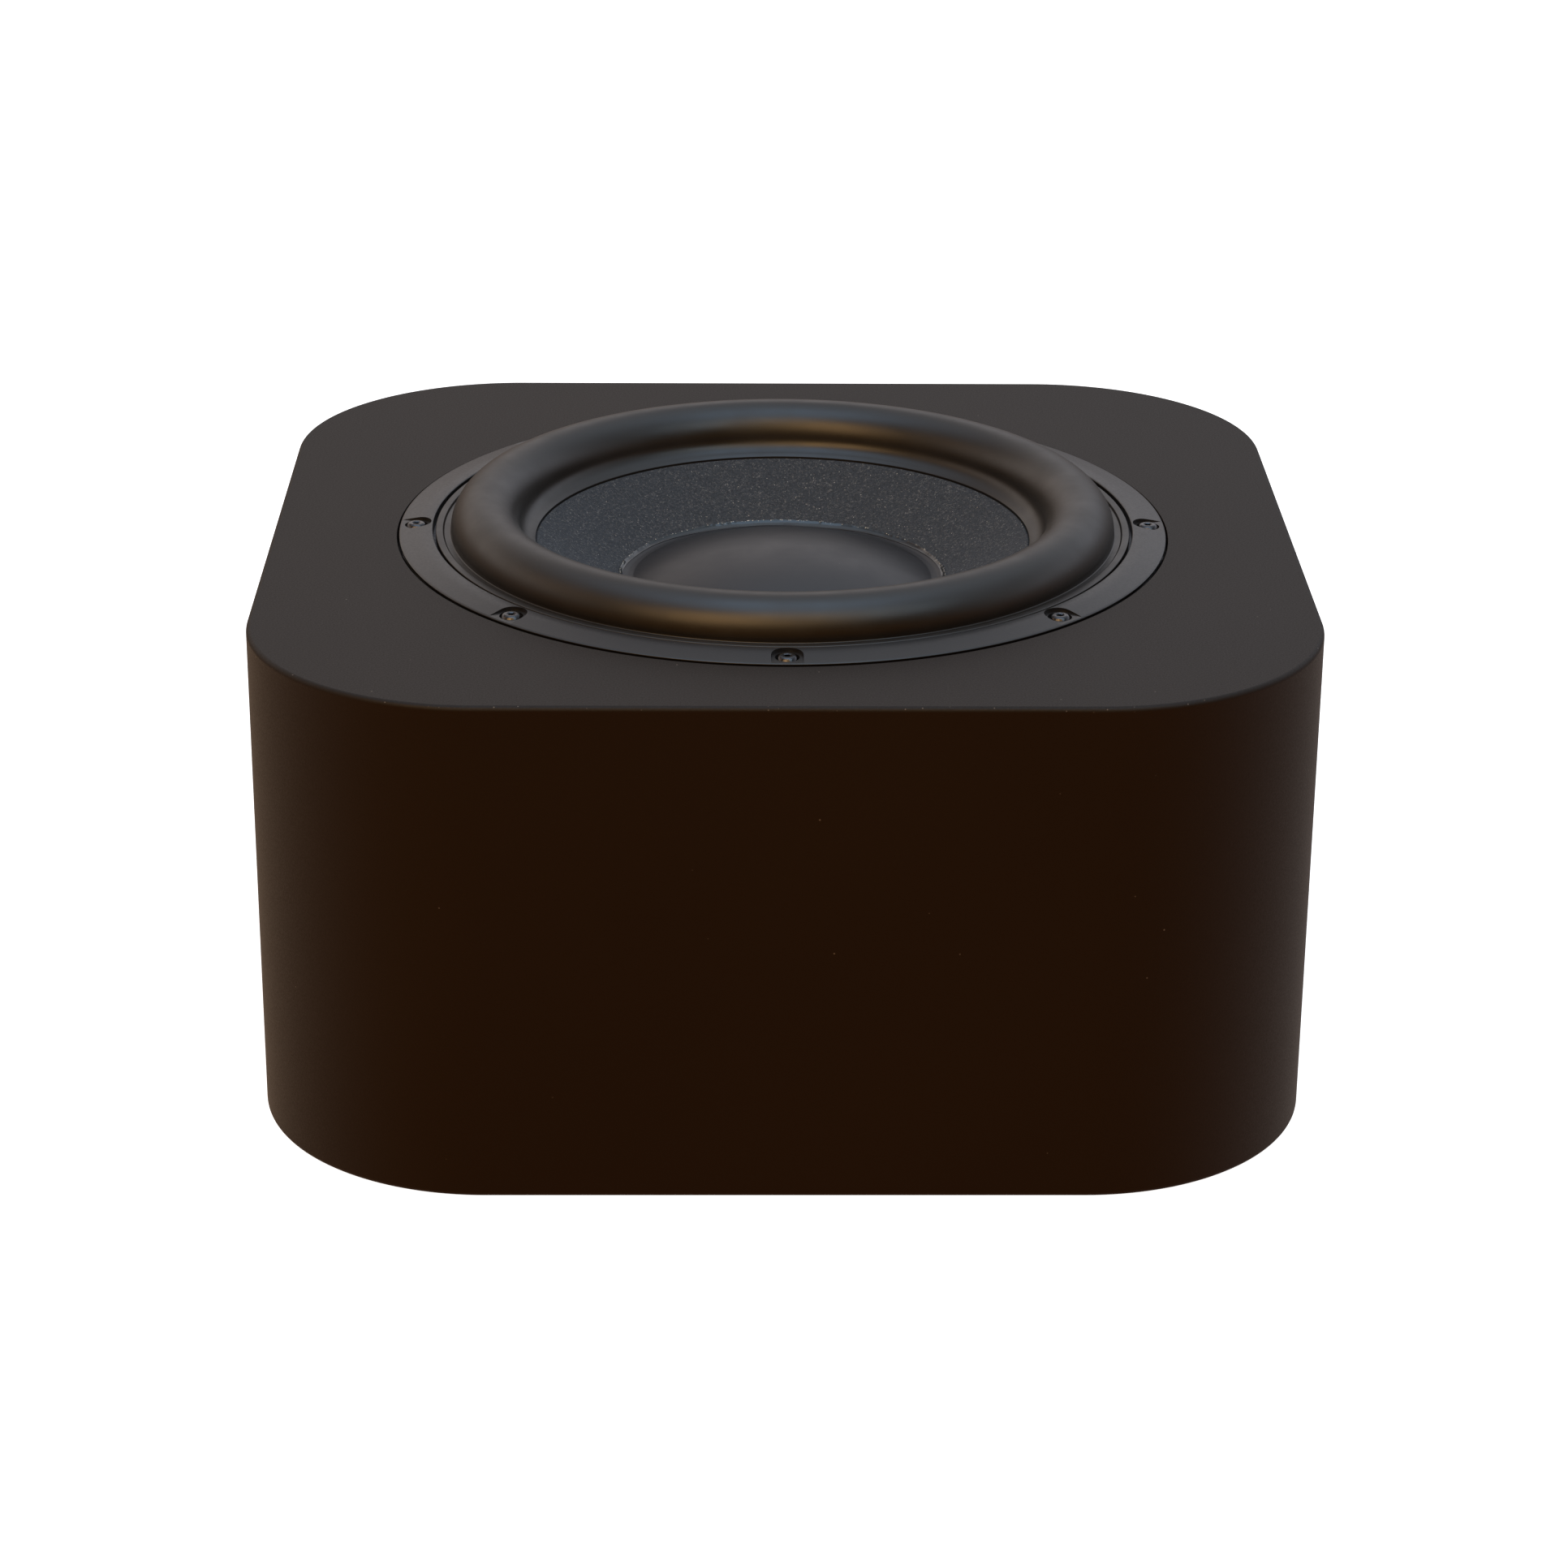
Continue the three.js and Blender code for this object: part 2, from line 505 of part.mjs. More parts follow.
function powerRocker() {
  const { x, y, width, tip, dip, halfLength, back, backHalf, restTilt } = ROCKER;
  const side = new THREE.Shape();
  side.moveTo(tip, halfLength);
  side.lineTo(back, backHalf);
  side.lineTo(back, -backHalf);
  side.lineTo(tip, -halfLength);
  side.lineTo(dip, 0);
  const bar = new THREE.ExtrudeGeometry(side, { depth: width, bevelEnabled: false });
  const turn = (restTilt * Math.PI) / 180;
  return bar.translate(0, 0, -width / 2).rotateY(-Math.PI / 2).rotateX(turn).translate(x, y, 0);
}

function knob() {
  const { shaft, shaftEnd, skirt, skirtLow, skirtHigh, top, topRadius, sides } = KNOB;
  const grip = turned([
    [0, shaftEnd], [shaft, shaftEnd], [shaft, skirtLow], [skirt, skirtLow], [skirt, skirtHigh],
    [topRadius, top], [0, top],
  ], sides);
  const pointer = block(1.4, 7, 2, 0, 5, top);
  return cut(grip, pointer);
}

function lineJack() {
  const { thread, end, nut, nutTop, barrel, top, bore, boreFloor } = JACK;
  const profile = [
    [0, end], [thread, end], [thread, GAP], [nut, GAP], [nut, nutTop], [barrel, nutTop], [barrel, top],
    [bore, top], [bore, boreFloor], [0, boreFloor],
  ];
  return turned(profile, TURNED_SIDES);
}

function buildAmplifier(group) {
  place(group, "amp_plate", amplifierPlate(), MATERIAL.satinBlack);
  place(group, "heat_sink", heatSink(), MATERIAL.satinBlack);
  place(group, "mains_inlet", mainsInlet(), MATERIAL.plastic);
  place(group, "rocker_bezel", rockerBezel(), MATERIAL.plastic);
  place(group, "power_rocker", powerRocker(), MATERIAL.plastic);
  for (const [name, x, y] of KNOBS) {
    place(group, `${name}_knob`, knob().translate(x, y, 0), MATERIAL.plastic);
    const pot = cut(block(POT.size, POT.size, POT.depth, 0, 0, POT.z), rod(POT.bore, -20, 0));
    place(group, `${name}_pot`, pot.translate(x, y, 0), MATERIAL.steel);
  }
  const phaseWindow = block(PHASE.windowWidth, PHASE.windowHeight, 8, 0, 0, -5);
  const phaseBody = cut(block(PHASE.bodyWidth, PHASE.bodyHeight, POT.depth, 0, 0, POT.z), phaseWindow);
  place(group, "phase_switch_body", phaseBody.translate(PHASE.x, PHASE.y, 0), MATERIAL.steel);
  const sliderX = PHASE.x - PHASE.travel / 2;
  const slider = block(PHASE.slider, PHASE.sliderHeight, PHASE.sliderDepth, sliderX, PHASE.y, -3);
  place(group, "phase_slider", slider, MATERIAL.plastic);
  for (const [name, x, y] of JACKS)
    place(group, `line_jack_${name}`, lineJack().translate(x, y, 0), MATERIAL.steel);
  const lens = turned([[0, -6], [LIGHT.radius, -6], [LIGHT.radius, 1], [1.8, 2.1], [0, LIGHT.radius]]);
  place(group, "power_light", lens.translate(LIGHT.x, LIGHT.y, 0), MATERIAL.lamp);
  cornerSigns.forEach(([sx, sy], i) => {
    const plateScrew = screw(PLATE_SCREW, -14, GAP, 2.4, 1.5);
    plateScrew.translate(sx * PLATE_SCREW.x, sy * PLATE_SCREW.y, 0);
    place(group, `plate_screw_${i + 1}`, plateScrew, MATERIAL.screw);
  });
  const board = block(BOARD.width, BOARD.height, BOARD.thickness, 0, 0, BOARD.z);
  place(group, "circuit_board", board, MATERIAL.board);
  const { xs, y: canY, radius, low, high } = CAPACITOR;
  xs.forEach((x, i) => {
    const can = rod(radius, low, high, TURNED_SIDES).translate(x, canY, 0);
    place(group, `capacitor_${i + 1}`, can, MATERIAL.plastic);
  });
}

// ---- Transformer and speaker cable, held inside the cabinet ----

const TRANSFORMER = {
  x: -95, y: 102, hole: 10, radius: 42, height: 32, boltRadius: 4, washer: 20, washerTop: 35,
};
const CABLE = {
  radius: 1.6, steps: 14,
  route: [[60, 147.2, 130], [60, 138, 131], [60, 116, 148], [53, 98, 153], [49.3, 85.8, 153]],
};

function buildInside(group) {
  const floor = CABINET.bottom + CABINET.wall + GAP;
  const { x, y, hole, radius, height, boltRadius, washer, washerTop } = TRANSFORMER;
  const coil = ring(hole, radius, floor, floor + height, MOTOR_SIDES);
  place(group, "transformer", coil.translate(x, y, 0), MATERIAL.copper);
  const [under, over] = [floor + height + GAP, floor + washerTop];
  const bolt = turned([
    [0, floor], [boltRadius, floor], [boltRadius, under], [washer, under], [washer, over], [0, over],
  ], TURNED_SIDES);
  place(group, "transformer_bolt", bolt.translate(x, y, 0), MATERIAL.steel);
  place(group, "speaker_cable", tubeAlong(CABLE.route, CABLE.radius, CABLE.steps), MATERIAL.plastic);
}

// ---- Assembly ----

const subwoofer = new THREE.Group();
buildCabinet(subwoofer);

const driver = new THREE.Group();
driver.position.z = CABINET.top;
subwoofer.add(driver);
buildDriver(driver);

const amplifier = new THREE.Group();
const right = new THREE.Vector3(-1, 0, 0);
const up = new THREE.Vector3(0, 0, 1);
const out = new THREE.Vector3(0, 1, 0);
amplifier.quaternion.setFromRotationMatrix(new THREE.Matrix4().makeBasis(right, up, out));
amplifier.position.set(0, PLATE.face, PLATE.centreZ);
subwoofer.add(amplifier);
buildAmplifier(amplifier);

buildInside(subwoofer);

export default subwoofer;
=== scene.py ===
"""The looks of an active subwoofer: cabinet, twelve-inch driver and back panel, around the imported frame.

Shapes are written in millimetres and turned into metres as their meshes are made. Heights on the driver are
measured from the top of the cabinet. Places on the back panel are (right, up, out) as seen from behind."""

import math

import bmesh
import bpy
import numpy as np
from mathutils import Matrix, Vector


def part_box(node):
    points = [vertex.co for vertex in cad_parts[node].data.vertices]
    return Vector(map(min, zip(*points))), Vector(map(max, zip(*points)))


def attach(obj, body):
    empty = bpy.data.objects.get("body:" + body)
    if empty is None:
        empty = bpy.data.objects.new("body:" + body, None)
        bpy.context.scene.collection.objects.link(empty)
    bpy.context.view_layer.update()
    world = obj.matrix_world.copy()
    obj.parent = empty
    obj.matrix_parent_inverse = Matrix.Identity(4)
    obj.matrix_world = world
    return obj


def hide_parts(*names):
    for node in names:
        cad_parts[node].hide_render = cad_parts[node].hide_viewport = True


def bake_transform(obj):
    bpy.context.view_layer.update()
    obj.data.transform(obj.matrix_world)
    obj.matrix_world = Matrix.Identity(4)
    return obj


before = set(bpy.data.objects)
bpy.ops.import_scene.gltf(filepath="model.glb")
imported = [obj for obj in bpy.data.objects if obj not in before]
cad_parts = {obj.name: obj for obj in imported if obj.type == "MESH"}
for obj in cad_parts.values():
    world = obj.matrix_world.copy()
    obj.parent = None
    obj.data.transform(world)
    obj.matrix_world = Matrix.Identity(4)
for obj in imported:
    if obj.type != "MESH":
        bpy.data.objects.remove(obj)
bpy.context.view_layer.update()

MM = 0.001
FULL_TURN = 2 * math.pi
RING_SEGMENTS = 256


def size_mm(node):
    """Lowest and highest corner of a CAD node, in millimetres."""
    low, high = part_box(node)
    return low / MM, high / MM


CABINET_LOW, CABINET_HIGH = size_mm("cabinet_shell")
TOP = CABINET_HIGH.z
RING_RADIUS = size_mm("trim_ring")[1].x
PANEL_LOW, PANEL_HIGH = size_mm("amp_plate")
PANEL_FACE = PANEL_HIGH.y
PANEL_MIDDLE = (PANEL_LOW.z + PANEL_HIGH.z) / 2

CORNER_RADIUS = 92.0
EDGE_ROUND = 2.0
WALL = 18.0
SCREW_CIRCLE = 149.25
SCREW_COUNT = 8
DRIVER_MOUTH, DRIVER_HOLE, DRIVER_REBATE = 156.8, 142.5, 6.5
POCKET, BATTEN, OPENING = (210, 130, 3), (234, 154, 2), (184, 104, 1)  # width, height and corner
ROLL_CENTRE, ROLL_HALF, ROLL_BASE, ROLL_HEIGHT, ROLL_THICK = 121.0, 14.0, 2.0, 13.8, 1.4
ROLL_OUTER, ROLL_INNER = ROLL_CENTRE + ROLL_HALF, ROLL_CENTRE - ROLL_HALF
CONE_EDGE, CONE_EDGE_Z = 100.6, -3.1
GLUE_RADIUS, GLUE_Z = 66.66, -20.44


# ---------------------------------------------------------------- mesh helpers


def add_object(name, data):
    """An object in the scene around a mesh, camera or lamp."""
    obj = bpy.data.objects.new(name, data)
    bpy.context.scene.collection.objects.link(obj)
    return obj


def new_object(name, vertices, faces, smooth_angle=35):
    """A mesh object from vertices in millimetres, closed seams merged and faces turned outwards."""
    mesh = bpy.data.meshes.new(name)
    mesh.from_pydata([tuple(v) for v in np.asarray(vertices, float) * MM], [], faces)
    tidy = bmesh.new()
    tidy.from_mesh(mesh)
    bmesh.ops.remove_doubles(tidy, verts=tidy.verts, dist=1e-7)
    bmesh.ops.recalc_face_normals(tidy, faces=tidy.faces)
    tidy.to_mesh(mesh)
    tidy.free()
    obj = add_object(name, mesh)
    smooth(obj, smooth_angle)
    return obj


def smooth(obj, angle=35):
    """Smooth shading, with creases above the angle in degrees kept sharp."""
    obj.data.shade_smooth()
    obj.data.set_sharp_from_angle(angle=math.radians(angle))


def sweep(start, corner, end, steps=8):
    """A short curve from start to end that leaves and arrives along the lines to the corner."""
    start, corner, end = (np.array(p, float) for p in (start, corner, end))
    return [
        tuple((1 - t) ** 2 * start + 2 * t * (1 - t) * corner + t * t * end)
        for t in np.linspace(0, 1, steps + 1)
    ]


def rounded(corners, steps=5):
    """A closed outline from (x, y) or (x, y, radius) corners, each radius swept by a short curve."""
    outline = []
    count = len(corners)
    for i, corner in enumerate(corners):
        point = np.array(corner[:2], float)
        radius = corner[2] if len(corner) > 2 else 0
        if not radius:
            outline.append(tuple(point))
            continue
        ends = []
        for other in (corners[i - 1], corners[(i + 1) % count]):
            toward = np.array(other[:2], float) - point
            ends.append(point + toward * min(0.5, radius / np.linalg.norm(toward)))
        outline += sweep(ends[0], point, ends[1], steps)
    return outline


def ring_faces(rings, segments, closed=True):
    """Quads between neighbouring rings of vertices, and from the last ring to the first where closed."""
    faces = []
    for i in range(rings if closed else rings - 1):
        here, there = i * segments, (i + 1) % rings * segments
        for j in range(segments):
            k = (j + 1) % segments
            faces.append((here + j, here + k, there + k, there + j))
    return faces


def revolve(name, rings, segments=RING_SEGMENTS, closed=True, smooth_angle=35):
    """Rings of (radius, height) joined about +Z. A radius may be a function of the angle."""
    angles = np.arange(segments) * FULL_TURN / segments
    vertices = []
    for radius, height in rings:
        reach = [radius(a) for a in angles] if callable(radius) else [radius] * segments
        vertices += [(r * math.cos(a), r * math.sin(a), height) for r, a in zip(reach, angles)]
    return new_object(name, vertices, ring_faces(len(rings), segments, closed), smooth_angle)


def loft(name, sections, smooth_angle=35):
    """Sections with equal counts of (x, y, z) points, joined in order, with flat ends."""
    count = len(sections[0])
    vertices = [p for section in sections for p in section]
    faces = ring_faces(len(sections), count, closed=False)
    faces.append(tuple(range(count)))
    faces.append(tuple(range((len(sections) - 1) * count, len(sections) * count)))
    return new_object(name, vertices, faces, smooth_angle)


def round_rectangle(width, height, radius, inset=0.0, steps=6):
    """A rounded rectangle centred on the origin, drawn with true arcs."""
    radius = max(radius - inset, 0.01)
    x, y = width / 2 - inset - radius, height / 2 - inset - radius
    points = []
    for turn, (cx, cy) in enumerate(((x, y), (-x, y), (-x, -y), (x, -y))):
        for i in range(steps + 1):
            a = (turn + i / steps) * math.pi / 2
            points.append((cx + radius * math.cos(a), cy + radius * math.sin(a)))
    return points


def eased_levels(low, high, edge, steps):
    """(inset, height) pairs for a wall whose lower and upper edges are rounded over."""
    turns = [math.pi / 2 * i / steps for i in range(steps + 1)]
    levels = [(edge * (1 - math.sin(a)), low + edge * (1 - math.cos(a))) for a in turns]
    return levels + [(edge * (1 - math.cos(a)), high - edge * (1 - math.sin(a))) for a in turns]


def soft_plate(name, width, height, corner, low, high, edge, centre=(0, 0)):
    """A flat rounded plate between two heights, with its edges eased."""
    sections = []
    for inset, z in eased_levels(low, high, edge, 3):
        outline = round_rectangle(width, height, corner, inset)
        sections.append([(x + centre[0], y + centre[1], z) for x, y in outline])
    return loft(name, sections)


def extrude_outline(name, outline, low, high):
    return loft(name, [[(x, y, z) for x, y in outline] for z in (low, high)])


def apply_modifiers(obj):
    """Bakes the modifiers into the mesh."""
    graph = bpy.context.evaluated_depsgraph_get()
    baked = bpy.data.meshes.new_from_object(obj.evaluated_get(graph))
    old = obj.data
    obj.modifiers.clear()
    obj.data = baked
    bpy.data.meshes.remove(old)


def combine(obj, tools, operation):
    """Cuts or joins the tools into obj and removes them."""
    for tool in tools:
        step = obj.modifiers.new(tool.name, "BOOLEAN")
        step.operation = operation
        step.solver = "EXACT"
        step.object = tool
    apply_modifiers(obj)
    for tool in tools:
        bpy.data.objects.remove(tool)


def steady_normals(obj, angle):
    """Keeps large flat faces flat in shading beside rounded edges."""
    smooth(obj, angle)
    weighted = obj.modifiers.new("steady", "WEIGHTED_NORMAL")
    weighted.keep_sharp = True
    apply_modifiers(obj)


def turn_copy(source, name, angle):
    """A copy turned about +Z by an angle in radians."""
    copy = add_object(name, source.data.copy())
    copy.data.transform(Matrix.Rotation(angle, 4, "Z"))
    return copy


def move(obj, x=0.0, y=0.0, z=0.0):
    """Moves the mesh itself, by millimetres."""
    obj.data.transform(Matrix.Translation(Vector((x, y, z)) * MM))
    return obj


def on_driver(obj):
    """Driver heights start at the top of the cabinet."""
    return move(obj, z=TOP)


def on_panel(obj):
    """Panel places (right, up, out) seen from behind become places in the shared frame."""
    axes = Matrix(((-1, 0, 0, 0), (0, 0, 1, PANEL_FACE * MM), (0, 1, 0, PANEL_MIDDLE * MM), (0, 0, 0, 1)))
    obj.data.transform(axes)
    return obj


def finish_piece(obj, material, body, slot, *nodes):
    """Material, body and the CAD nodes a piece stands for. The slot is not used."""
    obj.data.materials.clear()
    obj.data.materials.append(material)
    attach(obj, body)
    if nodes:
        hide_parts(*nodes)


def flex_piece(obj, material, slot, outer, inner, *nodes):
    """A ring given its material, with its CAD nodes hidden. Its outer and inner radii are not used."""
    obj.data.materials.clear()
    obj.data.materials.append(material)
    if nodes:
        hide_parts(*nodes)
    # The vertices are laid out by radius along X for a moment, and then put back.
    vertices = obj.data.vertices
    rest = np.zeros(len(vertices) * 3, np.float32)
    vertices.foreach_get("co", rest)
    flat = np.zeros((len(vertices), 3), np.float32)
    flat[:, 0] = np.hypot(rest[0::3], rest[1::3])
    vertices.foreach_set("co", flat.ravel())
    obj.data.update()
    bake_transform(obj)
    vertices.foreach_set("co", rest)
    obj.data.update()


# ---------------------------------------------------------------- materials


class Paint:
    """A Principled material with short calls for the nodes this file uses."""

    def __init__(self, name, color, roughness, metallic=0.0, specular=0.5):
        self.material = bpy.data.materials.new(name)
        self.material.use_nodes = True
        self.nodes = self.material.node_tree.nodes
        self.links = self.material.node_tree.links
        self.shader = self.nodes["Principled BSDF"]
        self.shader.inputs["Base Color"].default_value = (*color, 1)
        self.shader.inputs["Roughness"].default_value = roughness
        self.shader.inputs["Metallic"].default_value = metallic
        self.shader.inputs["Specular IOR Level"].default_value = specular
        self.place = self.nodes.new("ShaderNodeTexCoord").outputs["Object"]

    def stretch(self, scale):
        """The object's own places, scaled along each axis."""
        mapping = self.nodes.new("ShaderNodeMapping")
        mapping.inputs["Scale"].default_value = scale
        self.links.new(self.place, mapping.inputs["Vector"])
        return mapping.outputs["Vector"]

    def split_place(self):
        """The object's own x, y and z, in metres."""
        node = self.nodes.new("ShaderNodeSeparateXYZ")
        self.links.new(self.place, node.inputs[0])
        return node.outputs

    def noise(self, scale, detail=2.0, roughness=0.5, place=None):
        node = self.nodes.new("ShaderNodeTexNoise")
        node.inputs["Scale"].default_value = scale
        node.inputs["Detail"].default_value = detail
        node.inputs["Roughness"].default_value = roughness
        self.links.new(place or self.place, node.inputs["Vector"])
        return node.outputs["Fac"]

    def cells(self, scale):
        """Distance to the nearest cell point, and that cell's own random value."""
        node = self.nodes.new("ShaderNodeTexVoronoi")
        node.inputs["Scale"].default_value = scale
        self.links.new(self.place, node.inputs["Vector"])
        split = self.nodes.new("ShaderNodeSeparateColor")
        self.links.new(node.outputs["Color"], split.inputs[0])
        return node.outputs["Distance"], split.outputs[0]

    def remap(self, value, low, high, to_low=0.0, to_high=1.0):
        """The value carried from low..high to to_low..to_high, and held at the ends."""
        node = self.nodes.new("ShaderNodeMapRange")
        node.clamp = True
        for socket, number in zip(node.inputs[1:5], (low, high, to_low, to_high)):
            socket.default_value = number
        self.links.new(value, node.inputs[0])
        return node.outputs[0]

    def times(self, a, b):
        return self.combined(a, b, "MULTIPLY")

    def combined(self, a, b, operation):
        """Two outputs or numbers through one of the Math node's operations."""
        node = self.nodes.new("ShaderNodeMath")
        node.operation = operation
        for socket, value in zip(node.inputs, (a, b)):
            if isinstance(value, (int, float)):
                socket.default_value = value
            else:
                self.links.new(value, socket)
        return node.outputs[0]

    def blend(self, share, first, second):
        """A colour between first and second; each is an (r, g, b) or a colour output."""
        node = self.nodes.new("ShaderNodeMix")
        node.data_type = "RGBA"
        self.links.new(share, node.inputs["Factor"])
        for socket, value in zip((node.inputs[6], node.inputs[7]), (first, second)):
            if isinstance(value, tuple):
                socket.default_value = (*value, 1)
            else:
                self.links.new(value, socket)
        return node.outputs[2]

    def color(self, output):
        self.links.new(output, self.shader.inputs["Base Color"])

    def rough(self, output):
        self.links.new(output, self.shader.inputs["Roughness"])

    def bump(self, height, depth_mm, strength=1.0):
        node = self.nodes.new("ShaderNodeBump")
        node.inputs["Distance"].default_value = depth_mm * MM
        node.inputs["Strength"].default_value = strength
        self.links.new(height, node.inputs["Height"])
        self.links.new(node.outputs[0], self.shader.inputs["Normal"])


def specks(paint, scale, share, size):
    """1 on a small round speck in the given share of cells, else 0."""
    distance, chance = paint.cells(scale)
    spot = paint.remap(distance, size, size * 0.4)
    return paint.times(spot, paint.remap(chance, 1 - share, 1 - share + 0.02))


def cabinet_paint():
    """Fine-textured matte black lacquer with a little dust."""
    paint = Paint("cabinet_lacquer", (0.012, 0.0075, 0.004), 0.6, specular=0.32)
    cloud = paint.noise(9, 3)
    ground = paint.blend(cloud, (0.0105, 0.0058, 0.0024), (0.0145, 0.0088, 0.0046))
    dust = specks(paint, scale=170, share=0.05, size=0.075)
    height = paint.split_place()[2]
    near_edge = paint.times(
        paint.remap(height, (TOP - EDGE_ROUND) * MM, (TOP - 0.5 * EDGE_ROUND) * MM),
        paint.remap(height, (TOP - 0.02) * MM, (TOP - 0.1) * MM),
    )
    worn = paint.times(near_edge, specks(paint, scale=800, share=0.1, size=0.3))
    dust = paint.combined(dust, worn, "MAXIMUM")
    paint.color(paint.blend(dust, ground, (0.16, 0.14, 0.12)))
    grain = paint.noise(1500, 2, 0.6)
    paint.rough(paint.remap(grain, 0.3, 0.7, 0.47, 0.6))
    paint.bump(grain, 0.05, 0.55)
    return paint.material


def ring_paint():
    """Satin black coating on the trim ring."""
    paint = Paint("ring_coating", (0.014, 0.0135, 0.0135), 0.36, specular=0.75)
    grain = paint.noise(1100, 2)
    cloud = paint.noise(30, 2)
    dust = specks(paint, scale=260, share=0.03, size=0.06)
    ground = paint.blend(cloud, (0.009, 0.0085, 0.0085), (0.014, 0.0135, 0.013))
    paint.color(paint.blend(dust, ground, (0.2, 0.18, 0.15)))
    paint.rough(paint.remap(grain, 0.3, 0.7, 0.3, 0.38))
    paint.bump(grain, 0.02, 0.35)
    return paint.material


def rubber_paint(name, low, high, rough):
    """Smooth moulded rubber with faint handling marks and a little dust."""
    paint = Paint(name, low, rough, specular=0.8)
    cloud = paint.noise(22, 3)
    dust = specks(paint, scale=260, share=0.03, size=0.06)
    paint.color(paint.blend(dust, paint.blend(cloud, low, high), (0.2, 0.18, 0.15)))
    wipe = paint.noise(60, 4, 0.6)
    paint.rough(paint.remap(wipe, 0.3, 0.7, rough - 0.04, rough + 0.05))
    paint.bump(paint.noise(700, 2), 0.012, 0.25)
    return paint.material


def fibres(paint, scale, width, offset):
    """1 on short curly fibres: thin bands of equal noise, broken into pieces by another noise."""
    shifted = paint.nodes.new("ShaderNodeMapping")
    shifted.inputs["Location"].default_value = (offset, 2 * offset, 3 * offset)
    paint.links.new(paint.place, shifted.inputs["Vector"])
    place = shifted.outputs["Vector"]
    away = paint.combined(paint.combined(paint.noise(scale, 1, place=place), 0.5, "SUBTRACT"), 0, "ABSOLUTE")
    pieces = paint.remap(paint.noise(scale * 0.9, 0), 0.53, 0.6)
    return paint.times(paint.remap(away, width, width * 0.3), pieces)


def cone_paint():
    """Pressed fibre paper: dark grey felt with short light fibres."""
    paint = Paint("cone_fibre", (0.03, 0.031, 0.033), 0.75, specular=0.35)
    felt = paint.noise(1300, 3, 0.75)
    ground = paint.blend(paint.remap(felt, 0.3, 0.7), (0.019, 0.0225, 0.028), (0.06, 0.072, 0.088))
    hair = paint.combined(fibres(paint, 700, 0.022, 3.0), fibres(paint, 950, 0.022, 8.0), "MAXIMUM")
    ground = paint.blend(paint.times(hair, 0.6), ground, (0.26, 0.265, 0.26))
    flecks_and_glints = specks(paint, scale=900, share=0.11, size=0.18)
    paint.color(paint.blend(flecks_and_glints, ground, (0.85, 0.83, 0.76)))
    paint.bump(felt, 0.1, 0.6)
    return paint.material


def glue_paint():
    """Clear hardened glue, picked out by its highlights and by painted glints: warm white specks painted
    along the crest of the bead.
    """
    paint = Paint("cap_glue", (0.05, 0.052, 0.05), 0.25, specular=0.8)
    lumps = paint.noise(420, 3)
    height = paint.split_place()[2]
    # Painted highlight: warm white specks on the bead's crest stand in for glints on the glossy glue.
    bead = paint.remap(height, (TOP + GLUE_Z + 0.2) * MM, (TOP + GLUE_Z + 0.5) * MM)
    flecks_and_glints = paint.times(bead, specks(paint, scale=1300, share=0.45, size=0.42))
    ground = paint.blend(lumps, (0.01, 0.0135, 0.017), (0.018, 0.024, 0.03))
    paint.color(paint.blend(flecks_and_glints, ground, (0.95, 0.9, 0.75)))
    paint.rough(paint.remap(lumps, 0.35, 0.65, 0.12, 0.2))
    paint.bump(lumps, 0.03, 0.4)
    return paint.material


def metal_paint(name, color, roughness, grain=500, streak=(1, 1, 1)):
    """Bare or plated metal with a fine grain, stretched where it is brushed or turned."""
    paint = Paint(name, color, roughness, metallic=1.0)
    fine = paint.noise(grain, 3, place=paint.stretch(streak))
    darker = tuple(c * 0.82 for c in color)
    paint.color(paint.blend(paint.noise(45, 3), darker, color))
    paint.rough(paint.remap(fine, 0.3, 0.7, roughness * 0.8, roughness * 1.25))
    paint.bump(fine, 0.015, 0.4)
    return paint.material


def moulded_paint(name, color, roughness, grain=900, depth=0.03):
    """Moulded plastic with a light spark-eroded grain."""
    paint = Paint(name, color, roughness)
    fine = paint.noise(grain, 2)
    lighter = tuple(min(1.0, c * 1.35 + 0.001) for c in color)
    paint.color(paint.blend(paint.noise(35, 2), color, lighter))
    paint.rough(paint.remap(fine, 0.3, 0.7, roughness - 0.05, roughness + 0.06))
    paint.bump(fine, depth, 0.4)
    return paint.material


def board_paint():
    """Bare fibreboard: short pressed fibres."""
    paint = Paint("bare_board", (0.3, 0.19, 0.1), 0.85)
    fibre = paint.noise(500, 4, 0.7, place=paint.stretch((1, 1, 5)))
    paint.color(paint.blend(fibre, (0.2, 0.12, 0.06), (0.38, 0.26, 0.15)))
    paint.bump(fibre, 0.1, 0.5)
    return paint.material


def weave_paint(name, dark, light, scale):
    """Open cloth: crossed threads."""
    paint = Paint(name, dark, 0.85)
    threads = [paint.combined(paint.times(paint.split_place()[i], scale), 0, "SINE") for i in (0, 1)]
    crossing = paint.remap(paint.times(*threads), -1, 1)
    paint.color(paint.blend(crossing, dark, light))
    paint.bump(crossing, 0.15, 0.6)
    return paint.material


def lamp_paint():
    """Tinted clear lens of an unlit indicator."""
    paint = Paint("indicator_lens", (0.02, 0.06, 0.22), 0.08, specular=0.7)
    paint.color(paint.blend(paint.noise(300, 2), (0.015, 0.05, 0.2), (0.05, 0.12, 0.34)))
    return paint.material


def print_paint():
    """White screen print on the panel."""
    paint = Paint("panel_print", (0.6, 0.6, 0.58), 0.6)
    paint.color(paint.blend(paint.noise(800, 2), (0.48, 0.48, 0.46), (0.68, 0.68, 0.66)))
    return paint.material


